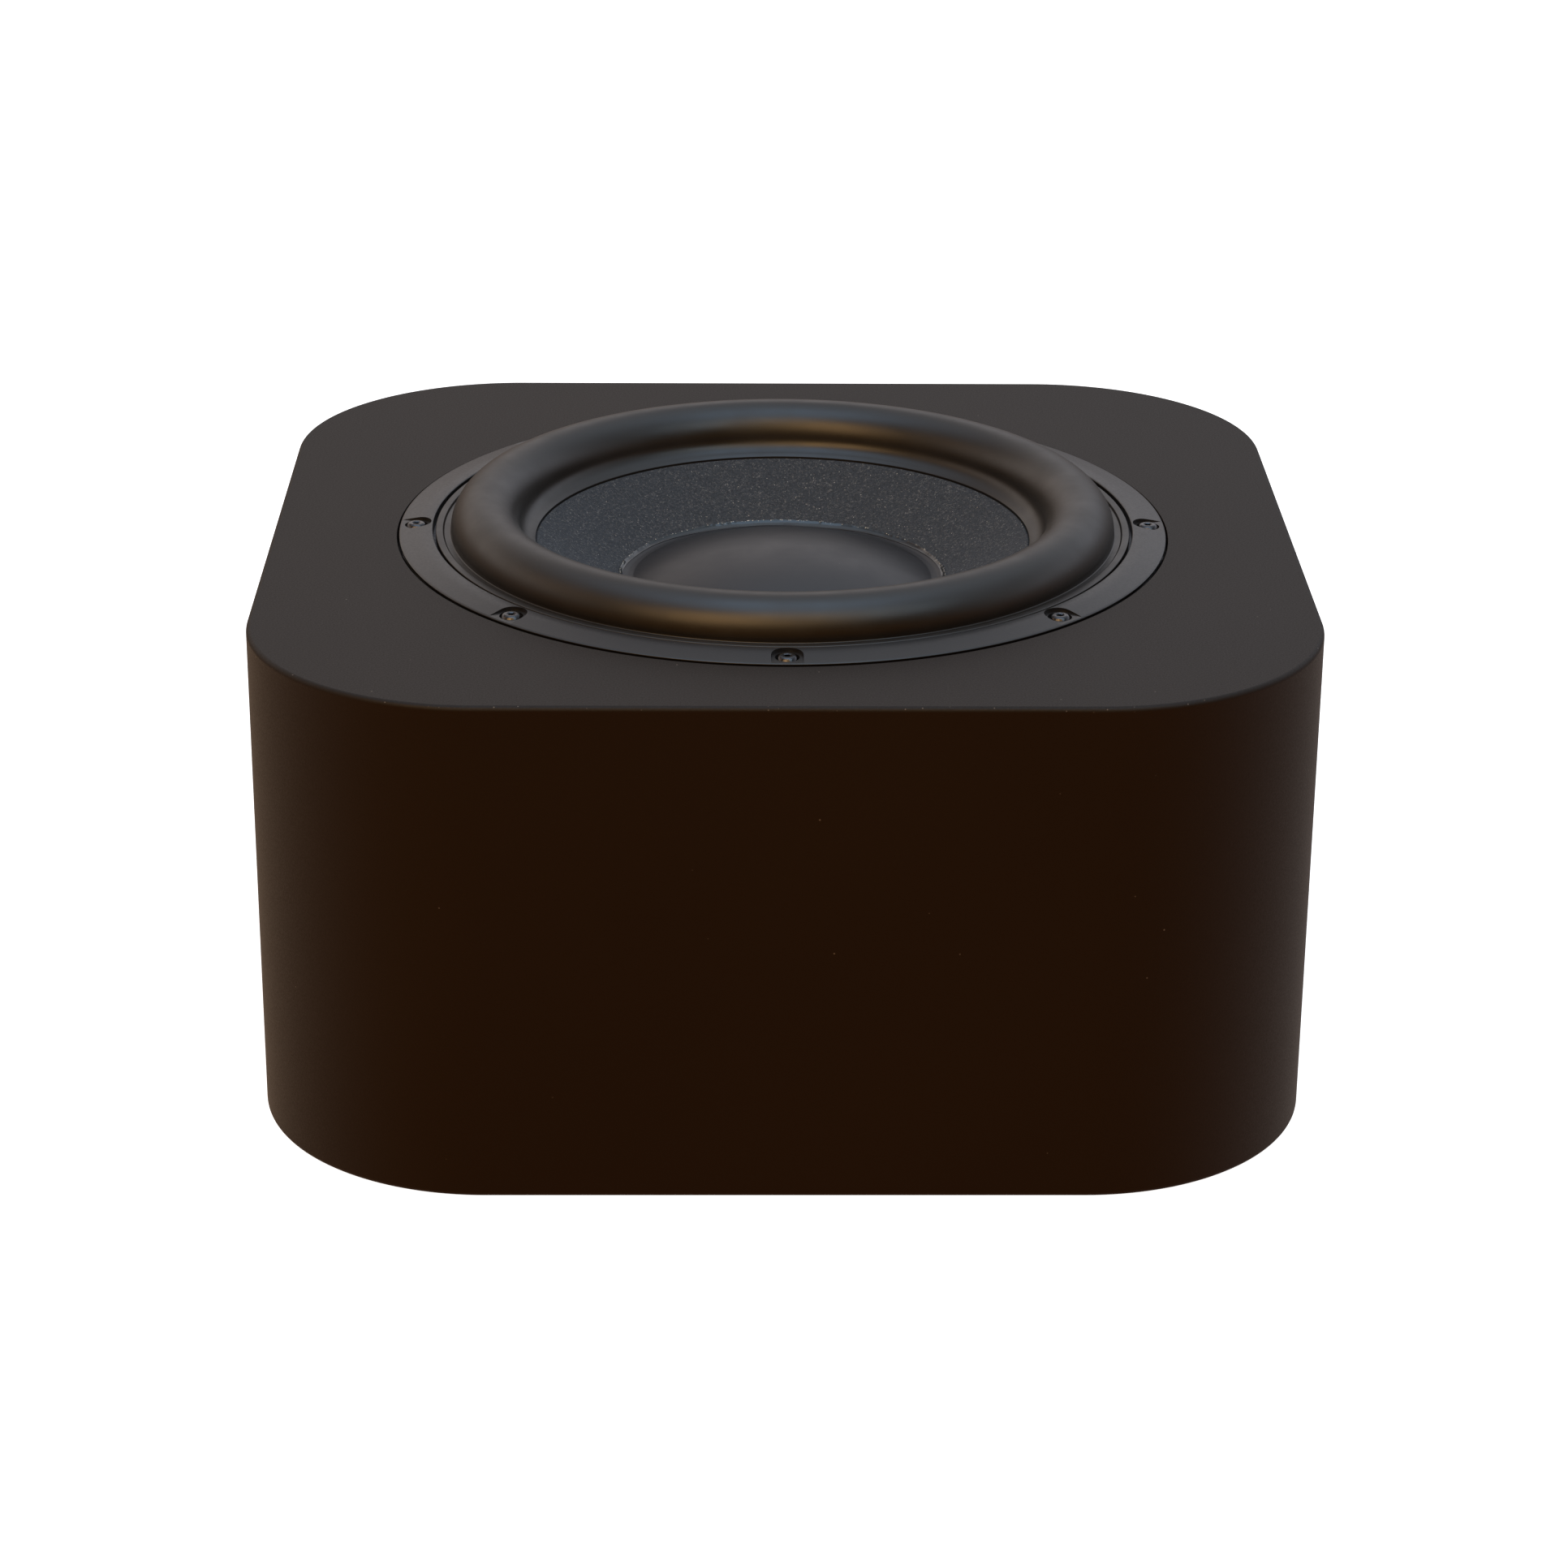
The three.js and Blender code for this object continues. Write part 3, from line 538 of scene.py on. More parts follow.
PAINT = {
    "cabinet": cabinet_paint(),
    "ring": ring_paint(),
    "rubber": rubber_paint("surround_rubber", (0.007, 0.0043, 0.0012), (0.0095, 0.0062, 0.0022), 0.38),
    "cap": rubber_paint("cap_rubber", (0.008, 0.008, 0.01), (0.012, 0.012, 0.015), 0.4),
    "foot": rubber_paint("foot_rubber", (0.01, 0.01, 0.01), (0.017, 0.017, 0.017), 0.65),
    "cone": cone_paint(),
    "glue": glue_paint(),
    "screw": metal_paint("black_screw", (0.1, 0.1, 0.105), 0.2, 900),
    "cast": metal_paint("cast_basket", (0.22, 0.22, 0.23), 0.55, 600),
    "steel": metal_paint("plated_steel", (0.45, 0.45, 0.46), 0.3, 700),
    "foil": metal_paint("former_foil", (0.6, 0.6, 0.62), 0.25, 800, (1, 1, 6)),
    "copper": metal_paint("enamelled_copper", (0.6, 0.25, 0.11), 0.3, 300, (1, 1, 12)),
    "plate": moulded_paint("coated_plate", (0.03, 0.03, 0.031), 0.42, 1400, 0.02),
    "fins": metal_paint("anodised_fins", (0.13, 0.13, 0.135), 0.4, 500, (1, 1, 9)),
    "jack": metal_paint("plated_jack", (0.72, 0.7, 0.66), 0.18, 700),
    "ferrite": moulded_paint("ferrite", (0.03, 0.03, 0.032), 0.6, 500, 0.06),
    "plastic": moulded_paint("black_plastic", (0.018, 0.018, 0.018), 0.45),
    "red": moulded_paint("red_ring", (0.42, 0.02, 0.015), 0.4),
    "white": moulded_paint("white_ring", (0.6, 0.6, 0.57), 0.4),
    "circuit": moulded_paint("circuit_green", (0.02, 0.12, 0.05), 0.4, 300, 0.02),
    "board": board_paint(),
    "spider": weave_paint("spider_cloth", (0.22, 0.13, 0.03), (0.5, 0.34, 0.1), 5200),
    "wadding": weave_paint("wadding_fleece", (0.55, 0.53, 0.5), (0.8, 0.78, 0.74), 900),
    "lamp": lamp_paint(),
    "print": print_paint(),
}


# ---------------------------------------------------------------- cabinet


def cabinet_block(name, inset, low, high, edge):
    """The cabinet's rounded outline between two heights, with its edges rounded over."""
    width = CABINET_HIGH.x - CABINET_LOW.x
    depth = CABINET_HIGH.y - CABINET_LOW.y
    sections = []
    for extra, z in eased_levels(low, high, edge, 6) if edge else ((0, low), (0, high)):
        outline = round_rectangle(width, depth, CORNER_RADIUS, inset + extra, steps=40)
        sections.append([(x, y, z) for x, y in outline])
    return loft(name, sections)


def driver_cutter():
    """Rebate and hole for the driver, eased at the mouth."""
    ease, above, below = 0.3, 8, -WALL - 4
    turns = np.linspace(0, math.pi / 2, 5)
    profile = [(0, above), (DRIVER_MOUTH + ease, above)]
    profile += [(DRIVER_MOUTH + ease * (1 - math.sin(a)), -ease * (1 - math.cos(a))) for a in turns]
    profile += [(DRIVER_MOUTH, -DRIVER_REBATE), (DRIVER_HOLE, -DRIVER_REBATE)]
    profile += [(DRIVER_HOLE, below), (0, below)]
    return on_driver(revolve("driver_cutter", profile, closed=False))


def pocket_cutter():
    """The rear pocket, with an eased mouth."""
    width, height, corner = POCKET
    ease, floor = 0.8, -3.3
    out = CABINET_HIGH.y - PANEL_FACE
    sections = []
    levels = ((0, floor), (0, out - ease), (0.3 * ease, out - 0.3 * ease), (ease, out), (ease, out + 6))
    for spread, level in levels:
        outline = round_rectangle(width + 2 * spread, height + 2 * spread, corner + spread)
        sections.append([(x, y, level) for x, y in outline])
    return on_panel(loft("pocket_cutter", sections))


def build_cabinet():
    """Hollow shell, the batten behind the back panel, and the openings for the driver and the panel."""
    cabinet = cabinet_block("cabinet", 0, CABINET_LOW.z, TOP, EDGE_ROUND)
    hollow = cabinet_block("hollow", WALL, CABINET_LOW.z - 5, TOP - WALL, 0)
    batten = on_panel(soft_plate("batten", *BATTEN, -16.3, -1, 0.2))
    opening = on_panel(soft_plate("opening", *OPENING, -30, 10, 0.2))
    combine(cabinet, [hollow], "DIFFERENCE")
    combine(cabinet, [batten], "UNION")
    combine(cabinet, [driver_cutter(), pocket_cutter(), opening], "DIFFERENCE")
    steady_normals(cabinet, 32)
    finish_piece(cabinet, PAINT["cabinet"], "cabinet", "cabinet_black", "cabinet_shell")


# ---------------------------------------------------------------- driver


def driver_angles():
    """Where the ring's screws stand, from the front centre."""
    return [-math.pi / 2 + i * FULL_TURN / SCREW_COUNT for i in range(SCREW_COUNT)]


NOTCH_HALF_WIDTH, NOTCH_FLOOR, NOTCH_REACH = 6.15, 0.8, 9
BORE_RADIUS, BORE_FLOOR = 4.7, -0.2
RING_CUT_TOP = 6


def notch_outline(radius, reach):
    """A half circle on the driver's side, with straight sides that run out over the rim."""
    turns = [math.pi / 2 + math.pi * i / 24 for i in range(25)]
    arc = [(radius * math.cos(a), radius * math.sin(a)) for a in turns]
    return [(reach, radius)] + arc + [(reach, -radius)]


def build_trim_ring():
    """The screwed ring: it falls towards its rim, and each screw stands in a bore in the floor of a notch."""
    corners = [
        (142.3, -1.8), (154.9, -1.8), (RING_RADIUS - 0.25, -0.3), (RING_RADIUS, 0.5, 0.25), (155.4, 0.8, 0.5),
        (146.5, 2.3, 2.5), (142.7, 2.4, 0.5), (142.3, 2.1, 0.3),
    ]
    ring = on_driver(revolve("ring", rounded(corners)))
    turns = np.linspace(0, FULL_TURN, 48, False)
    bore = [(BORE_RADIUS * math.cos(a), BORE_RADIUS * math.sin(a)) for a in turns]
    notch = notch_outline(NOTCH_HALF_WIDTH, NOTCH_REACH)
    cutters = []
    for i, angle in enumerate(driver_angles()):
        for name, outline, low in (("notch", notch, NOTCH_FLOOR), ("bore", bore, BORE_FLOOR)):
            cutter = extrude_outline(f"{name}_{i}", outline, low, RING_CUT_TOP)
            move(cutter, SCREW_CIRCLE)
            cutter.data.transform(Matrix.Rotation(angle, 4, "Z"))
            cutters.append(on_driver(cutter))
    combine(ring, cutters, "DIFFERENCE")
    steady_normals(ring, 30)
    finish_piece(ring, PAINT["ring"], "cabinet", "ring_black", "trim_ring")


def hexagon(apothem):
    """A hexagon's radius by angle, for revolve."""
    sixth = FULL_TURN / 6
    return lambda angle: apothem / math.cos((angle % sixth) - sixth / 2)


def socket_screw(name, head, top, under, socket, dome=0.5):
    """The domed head of a screw with a chamfered hexagon socket; head and socket are half widths."""
    floor, chamfer = top - 1.4, top - 0.35
    rings = [(0, floor), (hexagon(socket), floor), (hexagon(socket), chamfer), (hexagon(socket * 1.35), top)]
    start = socket * 1.6
    for share in np.linspace(0, 1, 8):
        rings.append((start + (head - 0.2 - start) * share, top - dome * share ** 4))
    rings += [(head, top - dome - 0.3), (head, under), (0, under)]
    return revolve(name, rings, 48, closed=False, smooth_angle=40)


def build_ring_screws():
    """Each screw's socket is turned a little differently, as driven screws are."""
    source = socket_screw("screw_pattern", 4.2, 1.8, BORE_FLOOR, 1.2, dome=1.2)
    for i, angle in enumerate(driver_angles()):
        screw = turn_copy(source, f"socket_screw_{i + 1}", 0.4 + 1.3 * i)
        move(screw, SCREW_CIRCLE * math.cos(angle), SCREW_CIRCLE * math.sin(angle), TOP)
        finish_piece(screw, PAINT["screw"], "cabinet", "screw_black", f"ring_screw_{i + 1}")
    bpy.data.objects.remove(source)


def roll_arc(inset, turn=math.pi):
    """The roll's section from its outer foot, drawn in by the inset."""
    return [
        (ROLL_CENTRE + (ROLL_HALF - inset) * math.cos(a), ROLL_BASE + (ROLL_HEIGHT - inset) * math.sin(a))
        for a in np.linspace(0, turn, 41)
    ]


def build_surround():
    """Half-roll surround: stepped outer lip, roll, and an inner lip that sweeps down onto the cone."""
    lip_outer = rounded([
        (141.1, -1.8), (141.1, 1.9, 0.5), (138.2, 1.95, 0.35), (137.75, 0.9, 0.3), (ROLL_OUTER, 0.9, 0.5),
        (ROLL_OUTER, ROLL_BASE),
    ])
    roll = roll_arc(0, math.radians(174))
    lip_inner = sweep(roll[-1], (106.69, -0.2), (102.9, -1.97))[1:]
    lip_inner += [(CONE_EDGE + 0.3, -2.85), (CONE_EDGE + 0.15, -3.0), (CONE_EDGE + 0.15, -3.9), (107.5, -3.7)]
    outline = lip_outer[:-1] + roll + lip_inner + roll_arc(ROLL_THICK)[::-1] + [(134.0, -1.8)]
    surround = on_driver(revolve("roll_surround", outline, 320))
    flex_piece(surround, PAINT["rubber"], "surround_rubber", ROLL_OUTER, ROLL_INNER, "surround")


def cone_height(radius):
    """The cone's upper face is straight from the surround's edge to the glue."""
    return CONE_EDGE_Z - (CONE_EDGE - radius) * (CONE_EDGE_Z - GLUE_Z) / (CONE_EDGE - GLUE_RADIUS)


def build_cone():
    """Straight-sided paper cone with a flat rim under the surround's inner lip."""
    neck, rim, lip, thick = 38.9, 106, CONE_EDGE_Z - 1.25, 1.3
    neck_under = cone_height(neck) - 2
    top = [(rim, lip), (CONE_EDGE + 0.4, lip), (CONE_EDGE - 0.6, cone_height(CONE_EDGE - 0.6) - 0.25)]
    top += [(r, cone_height(r)) for r in np.linspace(98.5, neck, 14)]
    under = [(neck, neck_under), (neck + 1, neck_under), (CONE_EDGE + 0.6, lip - thick), (rim, lip - thick)]
    cone = on_driver(revolve("paper_cone", top + under, 288, smooth_angle=25))
    finish_piece(cone, PAINT["cone"], "cone", "cone_paper", "cone")


def build_dust_cap():
    """Convex rubber cap with a glued flange."""
    radius, base, crown = 61.0, -21.2, 12.5
    dome = [(radius * s, base + crown * (1 - s * s)) for s in np.linspace(0, 0.985, 36)]
    flange = rounded([
        (60.4, base + 0.2), (61.2, base - 0.15, 0.4), (63.6, base - 0.25, 0.8), (66.0, base + 0.45, 0.3),
        (66.2, base + 0.1),
    ])[1:]
    under = [(65.0, base - 0.1), (63.4, base - 0.7), (radius - 1.5, base - 0.7)]
    inside = [(radius * s - 0.8 * s, base - 1.2 + crown * (1 - s * s)) for s in np.linspace(0.95, 0, 16)]
    cap = on_driver(revolve("dome_cap", dome + flange + under + inside, 224, closed=False))
    finish_piece(cap, PAINT["cap"], "cone", "cap_rubber", "dust_cap")


def build_glue_bead():
    """The uneven bead of glue around the cap, drawn out inwards into a thin glossy film.

    Each section is (radius, height, share of the bead's swell). The film is wider at the front and back."""
    segments = 900
    film_start = GLUE_RADIUS - 0.6
    film_end = 63.2
    angles = np.arange(segments) * FULL_TURN / segments
    swell = 1 + 0.2 * np.sin(7 * angles + 1) + 0.3 * np.sin(53 * angles + 2) * np.sin(11 * angles)
    swell += 0.35 * np.sin(127 * angles) * np.sin(5 * angles + 1)
    swell += 0.2 * np.sin(211 * angles) * np.sin(3 * angles)
    wander = 0.2 * np.sin(13 * angles + 0.5) + 0.12 * np.sin(37 * angles + 1.7)
    drawn = 0.27 + 0.7 * np.sin(angles) ** 2 + 0.06 * np.sin(9 * angles + 2)
    top = GLUE_Z
    sections = [(GLUE_RADIUS + 0.6, top + 0.2, 0.0), (GLUE_RADIUS + 0.45, top + 0.5, 0.3)]
    sections += [(GLUE_RADIUS + 0.15, top + 0.65, 0.5), (GLUE_RADIUS - 0.25, top + 0.45, 0.3)]
    sections += [(film_start, top + 0.02, 0.1), (GLUE_RADIUS - 1.5, top - 0.41, 0.0)]
    sections += [(GLUE_RADIUS - 2.4, top - 0.76, 0.0), (film_end, top - 0.96, 0.0)]
    sections += [(film_end, top - 1.1, 0.0), (GLUE_RADIUS + 0.6, top - 0.3, 0.0)]
    vertices = []
    for base, height, share in sections:
        r = base + (0.3 * wander if base == film_end else wander)
        z = height + share * 0.55 * (swell - 1)
        if base < film_start:
            r += (film_start - base) * (1 - drawn)
            z += (top - height) * (1 - drawn) * (height > top - 1)
        vertices += list(zip(r * np.cos(angles), r * np.sin(angles), z + 0 * angles))
    bead = on_driver(new_object("glue_bead", vertices, ring_faces(len(sections), segments), 60))
    finish_piece(bead, PAINT["glue"], "cone", "cap_rubber")


def build_spider():
    """The corrugated inner suspension, from the former to the basket's shelf."""
    inner, outer, first, last = 38.7, 88.0, 42.0, 79.0
    middle, swing, half_turns, half_cloth = -58.7, 1.7, 8, 0.25
    wave = []
    for r in np.linspace(first, last, 97):
        wave.append((r, middle + swing * math.cos((r - first) / (last - first) * half_turns * math.pi)))
    top = [(inner, -58.0)] + [(r, z + half_cloth) for r, z in wave] + [(outer, -58.9)]
    under = [(outer, -59.6)] + [(r, z - half_cloth) for r, z in wave[::-1]] + [(inner, -58.6)]
    spider = on_driver(revolve("corrugated_spider", top + under, 128))
    flex_piece(spider, PAINT["spider"], "spider_cloth", 80, 42, "spider")


def build_tinsel_leads():
    """Braided leads, 2 mm thick, from the terminal strip to the cone's neck."""
    side = [(94.2, -50.5), (86, -48), (76, -46), (66, -43), (58, -38), (54, -30)]
    for i, offset in enumerate((-5, 5)):
        angle = math.pi / 3 + math.radians(offset)
        points = [Vector((r * math.cos(angle), r * math.sin(angle), z + TOP)) for r, z in side]
        sections = []
        for j, point in enumerate(points):
            along = (points[min(j + 1, len(points) - 1)] - points[max(j - 1, 0)]).normalized()
            across = Vector((-math.sin(angle), math.cos(angle), 0))
            normal = along.cross(across)
            ring = [k * FULL_TURN / 12 for k in range(12)]
            sections.append([tuple(point + across * math.cos(b) + normal * math.sin(b)) for b in ring])
        lead = loft(f"braided_lead_{i + 1}", sections, 60)
        flex_piece(lead, PAINT["copper"], "winding_copper", 92, 56, f"tinsel_lead_{i + 1}")


# ---------------------------------------------------------------- back panel


# Places on the panel, (right, up) from its middle.
INLET = (62, -34)
ROCKER = (8, -38)
DIALS = {"volume": (2, 36), "crossover": (38, 36)}
PHASE = (72, 36)
JACKS = {"left": (2, 2, "white"), "right": (24, 2, "red")}
LIGHT = (86, 33)
PHASE_WINDOW = (9.6, 5.6, 0.6)  # width, height and corner


def cylinder(name, radius, low, high, place):
    """A plain round bar standing out of the panel between two heights."""
    outline = [(0, low), (radius, low), (radius, high), (0, high)]
    return move(revolve(name, outline, 32, closed=False), *place)


def build_panel():
    """The coated plate with its cut-outs, and the four posts behind it that hold the circuit board."""
    width, height = PANEL_HIGH.x - PANEL_LOW.x, PANEL_HIGH.z - PANEL_LOW.z
    through = (-9, 9)
    plate = soft_plate("panel", width, height, 2.7, -3, 0, 0.35)
    cutters = [
        soft_plate("cut_inlet", 28.6, 21.6, 1, *through, 0.1, INLET),
        soft_plate("cut_rocker", 14, 20, 1, *through, 0.1, ROCKER),
        soft_plate("cut_phase", *PHASE_WINDOW, *through, 0.1, PHASE),
        cylinder("cut_light", 2.7, *through, LIGHT),
    ]
    cutters += [cylinder(f"cut_{name}", 3.5, *through, place) for name, place in DIALS.items()]
    combine(plate, cutters, "DIFFERENCE")
    posts = [cylinder("post", 3, -34.4, -2, (sx * 85, sy * 44)) for sx in (-1, 1) for sy in (-1, 1)]
    combine(plate, posts, "UNION")
    steady_normals(plate, 30)
    finish_piece(on_panel(plate), PAINT["plate"], "cabinet", "plate_black", "amp_plate")


def build_heat_sink():
    """Extruded fins with rounded tips."""
    fins, fin, base, reach = 9, 2.0, 3.3, 11.5
    width, height, middle = 70, 96, -57
    pitch = (width - fin) / (fins - 1)
    corners = [(-width / 2, 0.3), (width / 2, 0.3)]
    for i in range(fins - 1, -1, -1):
        left = -width / 2 + i * pitch
        if i < fins - 1:
            corners.append((left + fin, base, 0.5))
        corners += [(left + fin - 0.15, reach, 0.8), (left + 0.15, reach, 0.8)]
        if i:
            corners.append((left, base, 0.5))
    outline = rounded(corners, 4)
    sink = loft("fins", [[(x + middle, y, z) for x, z in outline] for y in (-height / 2, height / 2)])
    finish_piece(on_panel(sink), PAINT["fins"], "cabinet", "plate_black", "heat_sink")


def fluted(radius, depth, count=28):
    """A fluted edge's radius by angle, for revolve."""
    return lambda angle: radius - depth * (0.5 - 0.5 * math.cos(angle * count)) ** 2


def build_dials():
    """Fluted knobs with a pointer, and printed ticks around them, every fifth one longer."""
    ticks_each, first_tick, tick_turn, tick_radius = 11, -150, 30, 12.6
    for name, (x, y) in DIALS.items():
        rings = [(0, -10), (3, -10), (3, 0.9), (9.2, 0.9), (9.5, 1.2), (9.5, 2.8), (9.1, 3.2)]
        rings += [(fluted(9.0 - 0.1 * i, 0.55), 3.4 + 1.05 * i) for i in range(7)]
        rings += [(8.0, 10.6), (7.7, 11.2), (7.0, 11.5), (6.4, 11.3), (0, 11.0)]
        knob = revolve(f"{name}_dial", rings, 224, closed=False)
        pointer = soft_plate(f"{name}_pointer", 1.2, 5.2, 0.4, 10.9, 11.45, 0.15, (0, 4.4))
        body = f"{name}_knob"
        finish_piece(on_panel(move(knob, x, y)), PAINT["plastic"], body, "plastic_black", f"{name}_knob")
        finish_piece(on_panel(move(pointer, x, y)), PAINT["print"], body, "plastic_black")
        ticks = []
        for i in range(ticks_each):
            angle = math.radians(first_tick + tick_turn * i)
            length = 1.4 if i % 5 else 2.2
            tick = soft_plate("tick", 0.7, length, 0.2, 0.0, 0.12, 0.04, (0, tick_radius))
            tick.data.transform(Matrix.Rotation(-angle, 4, "Z"))
            ticks.append(move(tick, x, y))
        scale = join_objects(f"{name}_scale", ticks)
        finish_piece(on_panel(scale), PAINT["print"], "cabinet", "plastic_black")


def join_objects(name, objects):
    """Several separate meshes as one object."""
    merged = bmesh.new()
    for obj in objects:
        merged.from_mesh(obj.data)
        bpy.data.objects.remove(obj)
    mesh = bpy.data.meshes.new(name)
    merged.to_mesh(mesh)
    merged.free()
    obj = add_object(name, mesh)
    smooth(obj)
    return obj


def build_jacks():
    """Line-input jacks: plated barrel, coloured ring and hexagon nut."""
    for name, (x, y, tint) in JACKS.items():
        rings = [(0, -12), (4.4, -12), (4.4, 0.3)]
        rings += [(hexagon(5.6), 0.3), (hexagon(5.6), 1.6), (5.2, 1.9)]
        rings += [(4.15, 1.9), (4.15, 10.1), (3.8, 10.5), (3.35, 10.5), (3.3, 9.9)]
        rings += [(3.3, 4.2), (1.7, 4.2), (1.7, 3.5), (0, 3.5)]
        jack = move(revolve(f"line_jack_{name}_barrel", rings, 96, closed=False), x, y)
        finish_piece(on_panel(jack), PAINT["jack"], "cabinet", "jack_metal", f"line_jack_{name}")
        core = [(1.75, 4.3), (3.2, 4.3), (3.2, 8.8), (2.9, 9.1), (2.0, 9.1), (1.75, 8.8)]
        insert = move(revolve(f"line_jack_{name}_insert", core, 64), x, y)
        finish_piece(on_panel(insert), PAINT[tint], "cabinet", "plastic_black")


def build_inlet():
    """Mains inlet: flanged body, socket with two cut corners and three blades."""
    x, y = INLET
    flange = soft_plate("inlet_housing", 48, 26, 4, 0.3, 2.3, 0.5)
    body = soft_plate("inlet_body", 28, 21, 1.5, -21, 1.5, 0.3)
    shape = rounded([
        (-11.7, -7.9, 1), (11.7, -7.9, 1), (11.7, 3.4, 1), (7.2, 7.9, 1), (-7.2, 7.9, 1), (-11.7, 3.4, 1),
    ], 4)
    socket = extrude_outline("inlet_socket", shape, -15, 5)
    combine(flange, [body], "UNION")
    combine(flange, [socket], "DIFFERENCE")
    steady_normals(flange, 30)
    move(flange, x, y)
    finish_piece(on_panel(flange), PAINT["plastic"], "cabinet", "plastic_black", "mains_inlet")
    places = ((-7, -1.5), (0, 3), (7, -1.5))
    blades = [soft_plate("blade", 2, 4, 0.4, -16, -4, 0.3, (x + across, y + up)) for across, up in places]
    finish_piece(on_panel(join_objects("inlet_blades", blades)), PAINT["jack"], "cabinet", "jack_metal")
    source = socket_screw("inlet_screw_pattern", 2.6, 3.6, 2.35, 1.0, dome=0.35)
    for i, side in enumerate((-1, 1)):
        screw = move(turn_copy(source, f"inlet_screw_{i + 1}", i), x + side * 19.5, y)
        finish_piece(on_panel(screw), PAINT["screw"], "cabinet", "screw_black")
    bpy.data.objects.remove(source)


def build_rocker():
    """Power rocker in its bezel. Its dished key rests tilted to one side."""
    x, y = ROCKER
    rest_tilt, lip, dish, half = 8, 3.4, 1.8, 7.6
    bezel = soft_plate("bezel", 17, 23, 1.6, 0.3, 2.0, 0.45)
    body = soft_plate("bezel_body", 13.4, 19.4, 1, -14, 1.5, 0.2)
    window = soft_plate("bezel_window", 10.4, 17.8, 0.6, -9, 6, 0.1)
    combine(bezel, [body], "UNION")
    combine(bezel, [window], "DIFFERENCE")
    steady_normals(bezel, 30)
    finish_piece(on_panel(move(bezel, x, y)), PAINT["plastic"], "cabinet", "plastic_black", "rocker_bezel")
    face = [(lip - dish * (1 - (t / 7.8) ** 2), t) for t in np.linspace(half, -half, 21)]
    outline = rounded([(-5, -6, 0.8), (-5, 6, 0.8)]) + face
    rocker = loft("rocker_key", [[(across, v, w) for w, v in outline] for across in (-4.9, 4.9)])
    rocker.data.transform(Matrix.Rotation(math.radians(rest_tilt), 4, "X"))
    on_panel(move(rocker, x, y))
    finish_piece(rocker, PAINT["plastic"], "power_rocker", "plastic_black", "power_rocker")


def build_phase_switch():
    """The slider's key, at the left end of its travel, and the raised frame around its window."""
    x, y = PHASE
    travel = 4.4
    key = soft_plate("phase_key", 4.6, 4.8, 0.5, -8.4, 2.5, 0.3, (x - travel / 2, y))
    finish_piece(on_panel(key), PAINT["plastic"], "phase_slider", "plastic_black", "phase_slider")
    frame_outer = soft_plate("phase_frame", 13, 9, 1.2, 0.0, 0.5, 0.15, PHASE)
    window = soft_plate("phase_window", *PHASE_WINDOW, -2, 2, 0.1, PHASE)
    combine(frame_outer, [window], "DIFFERENCE")
    finish_piece(on_panel(frame_outer), PAINT["plastic"], "cabinet", "plastic_black")


def build_light():
    """The indicator's domed lens."""
    lens = [(0, -6), (2.5, -6), (2.5, 0.9), (2.3, 1.5), (1.8, 2.1), (1.0, 2.4), (0, 2.5)]
    light = move(revolve("indicator", lens, 48, closed=False), *LIGHT)
    finish_piece(on_panel(light), PAINT["lamp"], "cabinet", "lamp_blue", "power_light")


def build_plate_screws():
    """One screw in each corner of the panel."""
    source = socket_screw("plate_screw_pattern", 3.6, 2.4, 0.3, 1.35, dome=0.5)
    places = [(-98.5, -58.5), (98.5, -58.5), (98.5, 58.5), (-98.5, 58.5)]
    for i, place in enumerate(places):
        screw = move(turn_copy(source, f"panel_screw_{i + 1}", 0.5 * i), *place)
        finish_piece(on_panel(screw), PAINT["screw"], "cabinet", "screw_black", f"plate_screw_{i + 1}")
    bpy.data.objects.remove(source)


# ---------------------------------------------------------------- feet and carried-over nodes


FOOT_CORNERS = ("front_left", "front_right", "back_right", "back_left")


def build_feet():
    """Round rubber feet with a recess for their screws."""
    for corner in FOOT_CORNERS:
        low, high = size_mm(f"foot_{corner}")
        x, y = (low.x + high.x) / 2, (low.y + high.y) / 2
        profile = rounded([
            (6, 0, 0.3), (15, 0, 0.8), (17, 1.6, 0.6), (17, 7.7, 0.4), (2.8, 7.7), (2.8, 4.7), (6, 4.7),
        ])
        foot = move(revolve(f"rubber_foot_{corner}", profile, 64), x, y)
        finish_piece(foot, PAINT["foot"], "cabinet", "foot_rubber", f"foot_{corner}")


CARRIED_OVER = {
    "bottom_panel": "board", "brace_left": "board", "brace_right": "board", "wadding": "wadding",
    "driver_gasket": "foot", "basket": "cast", "voice_coil_former": "foil", "voice_coil": "copper",
    "top_plate": "steel", "magnet": "ferrite", "back_plate": "steel", "terminal_strip": "plastic",
    "speaker_cable": "plastic", "volume_pot": "steel", "crossover_pot": "steel", "phase_switch_body": "steel",
    "circuit_board": "circuit", "capacitor_1": "plastic", "capacitor_2": "plastic", "transformer": "copper",
    "transformer_bolt": "steel",
}
CARRIED_OVER.update({f"foot_screw_{corner}": "screw" for corner in FOOT_CORNERS})


def dress_carried_over():
    """The hidden nodes keep their CAD shape and get a paint."""
    for node, paint in CARRIED_OVER.items():
        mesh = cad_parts[node].data
        mesh.materials.clear()
        mesh.materials.append(PAINT[paint])


# ---------------------------------------------------------------- camera, floor and light


CAMERA_PLACE = (-23.06, -1600.64, 561.55)  # from the middle of the cabinet's top
CAMERA_YAW, CAMERA_PITCH, CAMERA_ROLL = 0.874, 22.871, 0.421  # degrees, looking back and down
CAMERA_LENS, SENSOR_WIDTH = 95.209, 36
FAR_CLIP = 50


